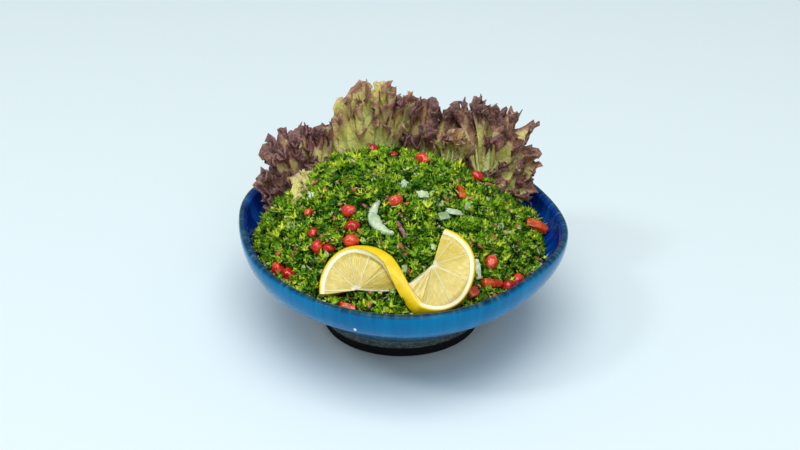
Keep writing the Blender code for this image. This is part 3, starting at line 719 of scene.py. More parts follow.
def shred_shape(rng, sides, bend):
    """Closed round or three-sided strip of unit length, bent along it."""
    spots = np.array((-1.0, -0.4, 0.4, 1.0))
    angle = TAU * np.arange(sides) / sides + rng.uniform(0, 1)
    points = []
    for spot in spots:
        rise = bend * (1 - spot * spot)
        wide = 1 - 0.3 * abs(spot)
        points.extend((spot, wide * math.cos(a), wide * math.sin(a) + rise) for a in angle)
    faces = []
    for ring in range(3):
        for i in range(sides):
            j = (i + 1) % sides
            a, b = ring * sides, (ring + 1) * sides
            faces += [(a + i, b + j, b + i), (a + i, a + j, b + j)]
    for i in range(1, sides - 1):
        faces += [(0, i + 1, i), (3 * sides, 3 * sides + i, 3 * sides + i + 1)]
    faces = np.array(faces)[:, ::-1]
    return np.array(points, dtype=float), faces


def taken_out(work):
    """Points and triangles of a bmesh, which is freed."""
    bmesh.ops.triangulate(work, faces=work.faces)
    points = coordinates(work.verts)
    faces = np.array([[vert.index for vert in face.verts] for face in work.faces])
    work.free()
    return points, faces


def grain_shape():
    """Plump closed grain of unit size."""
    work = bmesh.new()
    bmesh.ops.create_uvsphere(work, u_segments=6, v_segments=4, radius=1.0)
    return taken_out(work)


def dice_shape(rng):
    """Hand-cut closed block of unit size with eased corners."""
    work = bmesh.new()
    bmesh.ops.create_cube(work, size=2.0)
    bmesh.ops.bevel(work, geom=work.edges[:], offset=0.28, segments=1, affect="EDGES")
    points, faces = taken_out(work)
    sway = points[:, (1, 2, 0)] * rng.uniform(1, 2.2, 3) + rng.uniform(0, 6, 3)
    return points + np.sin(sway) * 0.2, faces


# From a bit in front of a topping towards that topping, seen from the front and above,
# with how far it is looked for there and straight below the bit.
INTO_HEAP = Vector((0, 0.88, -0.47))
HIDES_WITHIN = 12 * MM
COVERS_WITHIN = 9 * MM


class Seats:
    """Places on the core's upper surface, drawn evenly by area."""

    def __init__(self, points, triangles, keep_off):
        corners = points[triangles]
        cross = np.cross(corners[:, 1] - corners[:, 0], corners[:, 2] - corners[:, 0])
        area = np.linalg.norm(cross, axis=1)
        self.corners = corners
        self.normals = cross / np.maximum(area, 1e-12)[:, None]
        self.share = area / area.sum()
        self.keep_off = keep_off

    def draw(self, rng, count, lift, clearance):
        """Points, normals and tufts there; lift off the core and clearance are in mm."""
        picked = rng.choice(len(self.share), size=count, p=self.share)
        u, v = rng.random((2, count, 1))
        over = u + v > 1
        u, v = np.where(over, 1 - u, u), np.where(over, 1 - v, v)
        a, b, c = (self.corners[picked, k] for k in range(3))
        normals = unit(self.normals[picked] + (0, 0, 0.5))
        clump = layered(a, CLUMPS)
        rise = rng.uniform(lift[0] * MM, lift[1] * MM, count) + clump * CLUMP_RISE
        spots = a + u * (b - a) + v * (c - a) + normals * rise[:, None]
        kept = []
        for i in range(count):
            spot = Vector(spots[i])
            if self.keep_off.find_nearest(spot, clearance * MM)[0] is not None:
                continue
            if self.keep_off.ray_cast(spot, -Vector(normals[i]), COVERS_WITHIN)[0] is not None:
                continue
            if self.keep_off.ray_cast(spot, INTO_HEAP, HIDES_WITHIN)[0] is not None:
                continue
            kept.append(i)
        return spots[kept], normals[kept], clump[kept]


def strew(name, rng, shapes, seats, sizes, tilt, tones):
    """One mesh of many copies: each on a seat, turned at random about the seat's normal."""
    spots, normals, clump = seats
    count = len(spots)
    up = unit(normals + rng.normal(0, tilt, (count, 3)))
    side = unit(np.cross(up, rng.normal(0, 1, (count, 3))))
    turn = np.stack((side, np.cross(up, side), up), axis=-1)
    low, high = np.array(sizes[0]), np.array(sizes[1])
    scale = low + (high - low) * rng.random((count, 1)) ** 1.3
    # Tone: the bit's own random green plus, by the third of tones, painted light and shade, lighter on
    # top of a tuft and darker in its gaps.
    tone = np.clip(rng.normal(tones[0], tones[1], count) + clump * tones[2], 0, 1)
    chosen = rng.integers(0, len(shapes), count)
    points = []
    triangles = []
    values = []
    start = 0
    for index, (shape, faces) in enumerate(shapes):
        mine = np.flatnonzero(chosen == index)
        local = shape[None] * scale[mine][:, None, :]
        placed = np.einsum("nij,nkj->nki", turn[mine], local) + spots[mine][:, None, :]
        points.append(placed.reshape(-1, 3))
        offsets = start + len(shape) * np.arange(len(mine))
        triangles.append((faces[None] + offsets[:, None, None]).reshape(-1, 3))
        values.append(np.repeat(tone[mine], len(shape)))
        start += len(shape) * len(mine)
    return from_arrays(name, np.concatenate(points), np.concatenate(triangles),
                       {"tone": np.concatenate(values)})


# Lettuce ------------------------------------------------------------------------------

# Each leaf: azimuths of its top and its foot and its half spread in degrees; radius and
# height of its base, and its own height, in mm; drop of its two edges and lean outwards as
# shares of that height; how green; how thick its middle rib; places of the ribs across it.
# Lobes: place across the leaf, share of its height, distance in front, half angle, curl,
# and for some the extra green.
Leaf = namedtuple("Leaf", "azimuth foot spread base height drop lean green stalk ribs lobes")
LEAVES = {
    "lettuce_left": Leaf(137.5, 137.5, 18, (84, 50), 56, (0.25, 0.1), 0.5, 0.02, 1.2, (0.1,),
        ((-1.15, 0.74, 0, 0.42, -1), (-0.7, 0.93, 3, 0.42, 1), (-0.1, 1.0, 0, 0.42, -1),
         (0.5, 0.98, 3, 0.4, 1), (1.1, 1.0, 0, 0.36, -1), (-0.65, 0.6, 10, 0.5, 1),
         (0.35, 0.66, 10, 0.5, 1), (-0.9, 0.42, 20, 0.75, 1), (-0.35, 0.56, 29, 0.7, 1, 0.45),
         (0.3, 0.5, 33, 0.7, 1, 0.55), (0.9, 0.5, 20, 0.6, 1, 0.1))),
    "lettuce_back": Leaf(104, 104, 17, (79, 49), 86, (0.34, 0.1), 0.13, 0.46, 1.6, (-0.5, 0.05, 0.5),
        ((-1.1, 0.74, 0, 0.36, 1), (-0.6, 0.95, 3, 0.34, -1), (-0.05, 1.02, 0, 0.3, 1),
         (0.5, 0.99, 3, 0.3, -1), (1.0, 0.96, 0, 0.3, 1), (-0.8, 0.6, 8, 0.36, 1),
         (0.2, 0.74, 7, 0.32, 1))),
    "lettuce_middle": Leaf(79.5, 80, 9, (79, 49), 81, (0.03, 0.2), 0.13, 0.1, 1.4, (0.1,),
        ((-0.6, 0.97, 0, 0.28, 1), (0.5, 0.95, 3, 0.32, -1), (0.2, 0.7, 8, 0.32, 1))),
    "lettuce_right": Leaf(49, 41, 23, (82, 58), 63, (0.1, 0.24), 0.34, 0.16, 2.3,
        (-0.7, -0.3, 0.08, 0.45),
        ((-1.1, 1.0, 2, 0.38, 1), (-0.65, 1.03, 0, 0.38, -1), (-0.2, 1.02, 3, 0.38, 1),
         (0.3, 1.04, 0, 0.4, -1), (0.8, 0.95, 3, 0.44, 1), (1.15, 0.72, 2, 0.5, -1),
         (1.2, 0.4, 9, 0.6, 1), (0.85, 0.52, 12, 0.55, 1), (-0.85, 0.58, 8, 0.4, 1))),
    "lettuce_curl": Leaf(60, 60, 7, (70, 69), 42, (0.1, 0.1), 0.08, 0.42, 1.2, (-0.2, 0.25),
        ((-0.3, 0.92, 0, 0.26, 1), (0.5, 1.0, 2, 0.28, 1))),
}
# Pale frills of the left leaf that fold forward over the heap; they have no ribs.
FRILLS = Leaf(178, 177, 14, (60, 76), 27, (0.1, 0.1), 0.3, 0.66, 0, (),
    ((-0.7, 0.8, 0, 0.6, 1), (0.1, 1.0, 2, 0.6, -1), (0.8, 0.9, 0, 0.6, 1)))
LEAF_STEM = 3.5
LEAF_TOOTH = 5.4 * MM
LOBE_GRID = (84, 30)
RIB_GRID = (10, 30)
# Depths of the three ruffles of a lobe's edge and of the fringe on it, size of the fringe,
# and depths of the wave across a lobe and of its ray ribs.
RUFFLES = (4.6 * MM, 2.4 * MM, 1.1 * MM)
FRINGE = 2.8 * MM
FRINGE_SIZE = 2.6 * MM
LOBE_WAVE = 2.6 * MM
LOBE_RIB = 0.5 * MM
# Rays of a lobe: place across it and strength.
LOBE_RAYS = ((0.0, 1.0), (-0.42, 0.7), (0.42, 0.7), (-0.78, 0.5), (0.78, 0.5))
# A rib this near the middle is the stalk, the others are this share of the usual thickness;
# all end at this share of the leaf's height and stand this many mm in front of it.
STALK_WITHIN = 0.15
SIDE_RIB = 0.8
RIB_TOP = 0.72
RIB_FRONT = 5.0


def leaf_spot(leaf, across, up, front=0.0):
    """Point of the leaf's smooth fan, and the way inward there."""
    base_r, base_z = (value * MM for value in leaf.base)
    drop = leaf.drop[0] if across < 0 else leaf.drop[1]
    tall = leaf.height * MM * max(0.3, 1 - drop * abs(across) ** 2.2)
    sweep = LEAF_STEM + (leaf.spread - LEAF_STEM) * (1 - (1 - min(up, 1.0)) ** 2)
    settled = min(1.0, up * 1.6)
    middle = leaf.foot + (leaf.azimuth - leaf.foot) * settled
    azimuth = math.radians(middle - sweep * across)
    radius = base_r + leaf.lean * up * tall - front * MM
    out = np.array((math.cos(azimuth), math.sin(azimuth), 0.0))
    return out * radius + (0, 0, base_z + up * tall) + AXIS, -out


def lobe_sheet(leaf, lobe, order):
    """One fan of the leaf with a toothed, twice ruffled edge."""
    across, share, front, fan, curl, *extra = lobe
    base, inward = leaf_spot(leaf, across * 0.6, 0.0, front * 0.4)
    tip, _ = leaf_spot(leaf, across, share, front)
    way = unit(tip - base)
    side = unit(np.cross(way, inward))
    face = np.cross(side, way)
    length = np.linalg.norm(tip - base)
    green = leaf.green + sum(extra)

    def shape(u, v):
        open_up = np.clip(v / 0.6, 0, 1) ** 1.3
        theta = fan * u * (0.2 + 0.8 * open_up)
        turn = TAU * (0.85 * u + 1.15 * u * v) + 2.1 * order + 0.9 * np.sin(3.1 * u + order)
        second = 2.3 * turn + 1.3 * np.sin(0.8 * turn + order)
        third = 5.3 * turn + 1.5 * np.sin(1.9 * turn)
        brink = np.maximum(v ** 4, np.abs(u) ** 4 * np.clip(v * 1.6 - 0.2, 0, 1))
        notch = (1 - np.abs(np.sin(TAU * 0.8 * u + 1.3 * order))) ** 3
        saw = np.abs((u * 10.5 + 0.45 * np.sin(turn)) % 1 - 0.5) * 2
        reach = length * v * (1 - 0.1 * u * u - 0.22 * notch * v ** 3)
        reach = reach + LEAF_TOOTH * saw ** 1.6 * (0.55 + 0.45 * np.sin(second)) * v ** 9
        radial = np.cos(theta)[:, None] * way + np.sin(theta)[:, None] * side
        tangent = np.cos(theta)[:, None] * side - np.sin(theta)[:, None] * way
        a, b, c = (depth * brink ** power for depth, power in zip(RUFFLES, (1, 1.5, 3)))
        rib = lobe_ribs(u, v)
        lift = (a * np.sin(turn) + b * np.sin(second) + c * np.sin(third)
                + curl * (0.2 * length * np.clip(v - 0.5, 0, 1) ** 2 - 0.02 * length)
                + LOBE_WAVE * np.sin(2.4 * theta / fan + order) * v + LOBE_RIB * rib)
        slide = 0.9 * a * np.cos(turn) + 0.9 * b * np.cos(second + 0.5) + c * np.cos(third)
        climb = 0.35 * a * np.sin(turn + 1.9) + 0.6 * b * np.sin(second + 2.1) + c * np.cos(third + 1)
        points = (base + radial * (reach + climb)[:, None] + face * lift[:, None]
                  + tangent * slide[:, None])
        fringe = [cloud_at(points, FRINGE_SIZE, order + 4.1 * k) for k in range(3)]
        points = points + (FRINGE * brink ** 4)[:, None] * np.stack(fringe, axis=-1)
        blush = 0.04 + 0.5 * brink + 0.42 * v ** 1.6 - 0.9 * green + 0.07 * np.sin(turn)
        return points, {"blush": np.clip(blush, 0, 1) * (1 - 0.6 * rib), "rib": rib}
    return shaped_grid("lobe", *LOBE_GRID, shape)


def lobe_ribs(u, v):
    """1 on the rays of a lobe, 0 between them; its foot is all rib."""
    total = np.clip(1 - v / 0.2, 0, 1)
    for place, strength in LOBE_RAYS:
        width = (0.035 + 0.09 * (1 - v)) * strength
        ray = strength * np.exp(-((u - place) / width) ** 2) * np.clip(1.1 - v, 0, 1)
        total = np.maximum(total, ray)
    return total


def rib_tube(leaf, place, thick):
    """Raised rib on the inner face, thick at the foot."""
    def shape(u, v):
        rows = np.unique(v)
        spots = np.array([leaf_spot(leaf, place * (0.35 + 0.65 * row), row * RIB_TOP, RIB_FRONT)[0]
                          for row in rows])
        inward = leaf_spot(leaf, place, 0.5)[1]
        side = np.cross(inward, (0, 0, 1))
        middle = spots[np.searchsorted(rows, v)]
        middle = middle + side * (1.2 * MM * np.sin(5 * v + 3 * place))[:, None]
        angle = math.pi * u
        girth = thick * (1 - v) ** 0.7 + 0.2 * MM
        points = middle + inward * (girth * 0.8 * np.cos(angle))[:, None]
        points = points + side * (girth * np.sin(angle))[:, None]
        return points, {"blush": np.clip(v * 0.4 - leaf.green, 0, 1), "rib": 1 - 0.35 * v}
    return shaped_grid("rib", *RIB_GRID, shape)


def leaf_finish():
    """Frilled leaf: pale ribs, yellow-green heart, brown-purple ruffles."""
    finish = Finish("red_lettuce", {
        "Specular IOR Level": 0.55, "Subsurface Weight": 0.35,
        "Subsurface Radius": (1.0, 0.8, 0.5), "Subsurface Scale": 4 * MM})
    patch = finish.cloud(95.0, 3.0)
    small = finish.cloud(480.0, 4.0)
    vein = finish.node("TexVoronoi", {"feature": "DISTANCE_TO_EDGE"},
                       {"Vector": finish.place(), "Scale": 230.0})
    share = finish.own("blush") + (patch - 0.5) * 0.9 + (small - 0.5) * 0.25
    colour = finish.ramp(share, (
        (0.0, tint(244, 248, 146)), (0.24, tint(234, 230, 120)), (0.42, tint(222, 194, 138)),
        (0.56, tint(162, 108, 92)), (0.72, tint(88, 44, 50)), (1.0, tint(138, 94, 100))))
    light = finish.fade(vein, 0.0, 0.12)
    colour = finish.blend((1 - light) * 0.22, colour, tint(214, 196, 160))
    rib = finish.own("rib")
    colour = finish.blend(finish.fade(rib, 0.25, 0.95), colour,
                          finish.blend(patch, tint(226, 230, 178), tint(190, 204, 140)))
    return finish.wear(colour, 0.42 + small * 0.25, finish.relief(small * 0.5 + light * 0.5, 0.7 * MM))


# Lemon --------------------------------------------------------------------------------


def left_rind(angle):
    """Rind of the left half: an arc squeezed on its outer side, its top leaning back."""
    across, rise = math.cos(angle), math.sin(angle)
    reach = LEFT_REACH[0] if across > 0 else LEFT_REACH[1]
    return np.array((LEFT_CORE[0] + reach * across, LEFT_CORE[1] + LEFT_RISE * rise,
                     LEFT_OUT[0] + LEFT_OUT[1] * across + LEFT_OUT[2] * rise))


def right_rind(angle):
    """Rind of the right half, which lies back against the heap."""
    rise = math.sin(angle)
    reach = RIGHT_RISE[0] if rise > 0 else RIGHT_RISE[1]
    return np.array((RIGHT_CORE[0] + RIGHT_REACH * math.cos(angle),
                     RIGHT_CORE[1] + reach * rise, RIGHT_OUT[0] + RIGHT_OUT[1] * rise))


def lemon_stations():
    """Rind point, turn of the rind, core and bearing at each step along the slice."""
    stations = []
    for degrees in np.linspace(*LEFT_SPAN, LEFT_STEPS):
        share = max(0.0, (TURN_START - degrees) / (TURN_START - LEFT_SPAN[1]))
        rind = left_rind(math.radians(degrees))
        stations.append((rind, TURN_AT_STRIP * share, LEFT_CORE, degrees))
    start, end = math.radians(LEFT_SPAN[1]), math.radians(RIGHT_SPAN[0])
    first, last = left_rind(start), right_rind(end)
    pull = np.linalg.norm(last - first) * STRIP_PULL
    step = math.radians(1)
    leave = pull * unit(left_rind(start - step) - first)
    arrive = pull * unit(last - right_rind(end - step))
    for s in np.arange(1, STRIP_STEPS) / STRIP_STEPS:
        spot = ((2 * s ** 3 - 3 * s ** 2 + 1) * first + (s ** 3 - 2 * s ** 2 + s) * leave
                + (3 * s ** 2 - 2 * s ** 3) * last + (s ** 3 - s ** 2) * arrive)
        turn = TURN_AT_STRIP + (180 - 2 * TURN_AT_STRIP) * s
        core = LEFT_CORE if s < STRIP_BARE[0] else RIGHT_CORE if s > STRIP_BARE[1] else None
        bearing = LEFT_SPAN[1] - 90 * s if s < 0.5 else RIGHT_SPAN[0] - 90 * (1 - s)
        stations.append((spot, turn, core, bearing))
    for degrees in np.linspace(*RIGHT_SPAN, RIGHT_STEPS):
        share = max(0.0, (TURN_END - degrees) / (TURN_END - RIGHT_SPAN[0]))
        rind = right_rind(math.radians(degrees))
        stations.append((rind, 180 - TURN_AT_STRIP * share, RIGHT_CORE, degrees))
    return stations


def lemon_sections():
    """Seven points of each cross-section, as in the CAD, on the leaning board."""
    stations = lemon_stations()
    half = SLICE_THICKNESS / 2
    sections = []
    for i, (rind, turn, core, _) in enumerate(stations):
        ahead = stations[min(i + 1, len(stations) - 1)][0]
        behind = stations[max(i - 1, 0)][0]
        along = unit(ahead - behind)
        right_hand = unit(np.cross(along, (0, 0, 1)))
        front = np.cross(right_hand, along)
        angle = math.radians(turn)
        side = front * math.cos(angle) + right_hand * math.sin(angle)
        out = front * math.sin(angle) - right_hand * math.cos(angle)
        pith = rind - out * PITH_DEPTH
        if core is None:
            inner, inner_side = pith - out * SLICE_CORE, side
        else:
            inner = core + unit(pith - core) * SLICE_CORE
            inner_side = np.array((0, 0, 1.0 if turn < 90 else -1.0))
        sections.append((inner + inner_side * half, pith + side * half, rind + side * half,
                         rind + out * RIND_BULGE, rind - side * half, pith - side * half,
                         inner - inner_side * half))
    return np.array(sections), np.array([station[3] for station in stations], dtype=float)


def smooth_between(values, share):
    """Catmull-Rom curve through evenly spaced rows of values."""
    spot = np.clip(share, 0, 1) * (len(values) - 1)
    index = np.minimum(spot.astype(int), len(values) - 2)
    t = (spot - index).reshape((-1,) + (1,) * (values.ndim - 1))
    before = values[np.maximum(index - 1, 0)]
    a, b = values[index], values[index + 1]
    after = values[np.minimum(index + 2, len(values) - 1)]
    return 0.5 * (2 * a + (b - before) * t + (2 * before - 5 * a + 4 * b - after) * t ** 2
                  + (3 * a - before - 3 * b + after) * t ** 3)


def lemon_shape(u, v):
    """Slice of lemon: u runs along the rind, v round the cross-section."""
    sections, bearings = lemon_sections()
    share = (u + 1) / 2
    bearing = smooth_between(bearings, share)
    ring = smooth_between(sections, share)
    closed = np.concatenate((ring, ring[:, :1]), axis=1)
    stops = np.array(SECTION_STOPS)
    part = np.clip(np.searchsorted(stops, v, side="right") - 1, 0, len(stops) - 2)
    t = (v - stops[part]) / (stops[part + 1] - stops[part])
    rows = np.arange(len(u))
    spot = closed[rows, part] + (closed[rows, part + 1] - closed[rows, part]) * t[:, None]
    rim = (part == 2) | (part == 3)
    over = np.clip((v - stops[2]) / (stops[4] - stops[2]), 0, 1)[:, None]
    edge = closed[:, 2] + (closed[:, 4] - closed[:, 2]) * over
    swell = (closed[:, 3] - (closed[:, 2] + closed[:, 4]) / 2) * np.sin(math.pi * over)
    spot = np.where(rim[:, None], edge + swell, spot)
    front = (v < stops[3])[:, None]
    outer = np.where(front, closed[:, 2], closed[:, 4])
    core = np.where(front, closed[:, 0], closed[:, 6])
    depth = np.where(rim, 0.0, np.linalg.norm(spot - outer, axis=1))
    from_core = np.linalg.norm(spot - core, axis=1)
    lean = math.radians(BOARD_LEAN)
    y = spot[:, 1] * math.cos(lean) - spot[:, 2] * math.sin(lean)
    z = spot[:, 1] * math.sin(lean) + spot[:, 2] * math.cos(lean)
    points = np.stack((spot[:, 0], y, z), axis=-1) + BOARD_ORIGIN + AXIS
    return points, {"depth": depth / MM, "from_core": from_core / MM, "bearing": bearing}


def lemon_finish(look):
    """Zest, white pith, pale wet flesh parted by membranes."""
    finish = Finish("lemon", {"Coat Weight": 0.35, "Coat Roughness": 0.12})
    depth = finish.own("depth")
    core = finish.own("from_core")
    bearing = finish.own("bearing")
    pits = finish.cloud(700.0, 2.0)
    soft = finish.cloud(160.0, 3.0)
    turn = finish.maths("FRACT", bearing / SEGMENT_TURN + 0.17)
    gap = finish.maths("ABSOLUTE", turn - 0.5)
    spoke = 1 - finish.fade((0.5 - gap) * core * 0.663 + (soft - 0.5) * 0.5, 0.1, 0.6)
    hub = 1 - finish.fade(core + (soft - 0.5) * 2.4, 1.6, 4.2)
    pulp_at = finish.node("CombineXYZ", {}, {0: bearing * 0.42, 1: depth * 0.28, 2: 0.0})
    pulp = finish.cloud(1.0, 3.0, pulp_at, 0.4)
    flesh = finish.ramp(pulp * 0.7 + soft * 0.3, (
        (0.3, tint(198, 170, 54)), (0.5, look["flesh"]), (0.7, tint(238, 223, 130))))
    white = finish.maths("MAXIMUM", spoke * 0.55, hub)
    colour = finish.blend(white, flesh, look["pith"])
    in_flesh = finish.fade(depth + (soft - 0.5) * 0.7, *FLESH_FROM)
    colour = finish.blend(in_flesh, look["pith"], colour)
    in_pith = finish.fade(depth + (pits - 0.5) * 0.3, *PITH_FROM)
    zest = finish.blend(finish.fade(soft, 0.35, 0.7), look["zest"], tint(255, 224, 8))
    colour = finish.blend(in_pith, zest, colour)
    height = pits * (1 - in_pith) * 0.25 + in_flesh * (pulp * 0.35 + spoke * 0.25)
    return finish.wear(colour, 0.42 - in_flesh * 0.22, finish.relief(height, 1.1 * MM))


# Toppings -----------------------------------------------------------------------------

ARILS = [f"aril_{i + 1:02d}" for i in range(17)]
TOMATOES = ("tomato_strip", "tomato_wedge", "tomato_dice_front", "tomato_dice_right",
            "tomato_dice_middle")
ONIONS = ("onion_chip_top", "onion_strip_right", "onion_strip_front", "onion_chip_middle",
          "onion_chip_left", "onion_crescent")


# Growth of the seeds, the cut pieces and the thinnest of these about their own middles, and
# depth and size of the lumps on them.
SEED_SWELL = 1.14
CUT_SWELL = 1.05
THIN_SWELL = 1.25
THIN_CUTS = ("onion_crescent", "tomato_strip")
SEED_LUMPS = 0.7 * MM
CUT_LUMPS = 0.8 * MM
LUMP_SIZE = 2.4 * MM


def softened_copy(name, node, round_off, swell, lumps, seed):
    """The CAD piece merged and softened: round_off for a seed, crisp cut edges without it."""
    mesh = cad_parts[node].data.copy()
    mesh.name = name
    mesh.materials.clear()
    piece = add_object(name, mesh)
    outward(piece, 2 * MERGE)
    make_active(piece)
    if round_off:
        apply_modifier(piece, "SUBSURF", {"levels": 1, "render_levels": 1})
    else:
        bpy.ops.object.mode_set(mode="EDIT")
        bpy.ops.mesh.select_all(action="SELECT")
        bpy.ops.mesh.tris_convert_to_quads()
        bpy.ops.object.mode_set(mode="OBJECT")
        apply_modifier(piece, "BEVEL",
                       {"width": CUT_BEVEL, "segments": 2, "limit_method": "ANGLE"})
        apply_modifier(piece, "SUBSURF",
                       {"levels": 2, "render_levels": 2, "subdivision_type": "SIMPLE"})
    points = coordinates(mesh.vertices)
    middle = points.mean(axis=0)
    normals = np.array([tuple(vert.normal) for vert in mesh.vertices])
    moved = middle + (points - middle) * swell
    move_points(mesh, moved + normals * (cloud_at(points, LUMP_SIZE, seed) * lumps)[:, None])
    longest = np.linalg.svd(points - middle, full_matrices=False)[2][0]
    length = np.abs((points - middle) @ longest)
    set_attributes(mesh, {"tip": length / length.max(),
                          "tone": np.full(len(points), (seed * 0.37) % 1)})
    mesh.shade_smooth()
    mesh.update()
    return piece


def aril_finish(look):
    """Juicy red seed coat, paler towards its ends, with painted glow in pale peach patches."""
    finish = Finish("pomegranate", {"Coat Weight": 0.9, "Coat Roughness": 0.06, "IOR": 1.4})
    soft = finish.cloud(260.0, 3.0)
    streak = finish.cloud(640.0, 2.0)
    tip = finish.own("tip")
    colour = finish.ramp(soft * 0.6 + streak * 0.2 + finish.own("tone") * 0.25, (
        (0.3, tint(138, 10, 16)), (0.5, look["aril"]), (0.7, tint(236, 84, 44))))
    # Partly the seed's own paler ends, partly painted glow: peach patches by noise and tone for light
    # shining through the seed.
    pale = finish.fade(tip * 0.6 + (soft - 0.5) * 1.2 + finish.own("tone") * 0.35, 0.62, 1.0)
    colour = finish.blend(pale * 0.75, colour, tint(240, 138, 104))
    return finish.wear(colour, 0.16 + streak * 0.12, finish.relief(soft, 0.8 * MM, 0.6))


def cut_finish(name, dark, middle, light, roughness):
    """Wet cut vegetable with streaks along it and small pits."""
    finish = Finish(name, {"Coat Weight": 0.6, "Coat Roughness": 0.1})
    soft = finish.cloud(230.0, 4.0, twist=0.6)
    grain = finish.cloud(1100.0, 2.0)
    colour = finish.ramp(soft * 0.75 + grain * 0.25, ((0.3, dark), (0.5, middle), (0.68, light)))
    bumps = finish.relief(soft * 0.7 + grain * 0.3, 0.8 * MM)
    return finish.wear(colour, roughness + grain * 0.15, bumps)


# Stage --------------------------------------------------------------------------------

FLOOR_SIZE = 8
LOOK_HEIGHT = 60 * MM
CAMERA_SHIFT = (-0.0015, 0.0165)
# Soft boxes: place, side, power in watts and colour; then the even light of the surroundings.
LAMPS = (("key", (-0.1, -0.85, 3.3), 2.8, 82.0, (1.0, 0.98, 0.95)),
         ("front_fill", (1.0, -2.8, 2.2), 1.6, 22.0, (0.95, 0.98, 1.0)),
         ("left_fill", (-1.9, -0.9, 2.2), 0.5, 13.0, (0.97, 0.99, 1.0)))
SKY_COLOUR = (0.86, 0.97, 1.0, 1.0)
SKY_STRENGTH = 0.31


# Settings -----------------------------------------------------------------------------


def colour_setting(name, description, colour):
    return bpy.props.FloatVectorProperty(
        name=name, description=description, default=colour, size=3, min=0, max=1, subtype="COLOR")


def length_setting(name, description, length):
    return bpy.props.FloatProperty(
        name=name, description=description, default=length, unit="LENGTH", subtype="DISTANCE")


def count_setting(name, description, count):
    return bpy.props.IntProperty(name=name, description=description, default=count)


class SaladBowlSettings(bpy.types.PropertyGroup):
    """Colours of the bowl."""

    glaze_outside: colour_setting("Outer glaze", "Main blue outside", tint(0, 116, 170))
    glaze_light: colour_setting("Pooled glaze", "Paler teal blue outside", tint(6, 136, 188))
    glaze_deep: colour_setting("Thick glaze", "Deeper blue outside", tint(0, 92, 150))
    glaze_inside: colour_setting("Inner glaze", "Cobalt inside the bowl", tint(0, 50, 150))
    lip: colour_setting("Lip", "Where the glaze breaks over the rim", tint(26, 58, 74))
    bare: colour_setting("Bare band", "Clay above the foot", tint(122, 128, 122))
    foot: colour_setting("Foot", "Foot ring", tint(38, 36, 38))


class SaladHerbSettings(bpy.types.PropertyGroup):
    """Amounts and sizes of the loose chopped bits."""

    leaflets: count_setting("Leaflets", "Bright leaf fragments", 9800)
    chop: count_setting("Fine chop", "Small leaf fragments", 12300)
    shade: count_setting("Under layer", "Dark fragments below", 12000)
    curls: count_setting("Curls", "Curled leaf tips", 5200)
    grains: count_setting("Grains", "Bulgur grains", 1500)
    leaflet_size: length_setting("Leaflet size", "Reach of the largest leaflet", 3.9 * MM)
    seed: count_setting("Seed", "Order of the scattering", 11)


class SaladLettuceSettings(bpy.types.PropertyGroup):
    """Body of the lettuce leaves."""

    thickness: length_setting("Thickness", "Thickness of a leaf", 0.55 * MM)
    rib: length_setting("Rib", "Half thickness of a rib at its foot", 2.0 * MM)


class SaladToppingSettings(bpy.types.PropertyGroup):
    """Colours of the lemon and the toppings."""

    zest: colour_setting("Zest", "Outer skin of the lemon", tint(255, 212, 0))
    pith: colour_setting("Pith", "White layer and membranes", tint(255, 250, 216))
    flesh: colour_setting("Flesh", "Pulp of the lemon", tint(216, 193, 80))
    aril: colour_setting("Aril", "Pomegranate seeds", tint(206, 26, 16))
    tomato: colour_setting("Tomato", "Diced tomato", tint(208, 70, 16))
    onion: colour_setting("Onion", "Sliced white onion", tint(192, 214, 172))


class SaladStageSettings(bpy.types.PropertyGroup):
    """Floor, light and camera."""

    floor: colour_setting("Floor", "Pale table", tint(230, 244, 250))
    lens: bpy.props.FloatProperty(
        name="Lens", description="Focal length in millimetres", default=57.9, unit="CAMERA")
    distance: length_setting("Distance", "Camera to the middle of the bowl", 0.869)
    elevation: bpy.props.FloatProperty(
        name="Elevation", description="Camera height as an angle", default=math.radians(28.04),
        unit="ROTATION", subtype="ANGLE")


SETTINGS = (("salad_bowl", SaladBowlSettings), ("salad_herbs", SaladHerbSettings),
            ("salad_lettuce", SaladLettuceSettings), ("salad_toppings", SaladToppingSettings),
            ("salad_stage", SaladStageSettings))


def colours_of(group):
    """All colours of a settings group as plain tuples."""
    return {name: tuple(getattr(group, name)) for name in group.__annotations__}


# Operators ----------------------------------------------------------------------------


class SALAD_OT_bowl(bpy.types.Operator):
    """Turn the bowl, make its rim wavy and glaze it"""

    bl_idname = "salad.bowl"
    bl_label = "Make the bowl"

    def execute(self, context):
        piece = make_bowl_mesh()
        piece.name = "glazed_bowl"
        settle(piece, glaze_finish(colours_of(context.scene.salad_bowl)), ["bowl"])
        return {"FINISHED"}


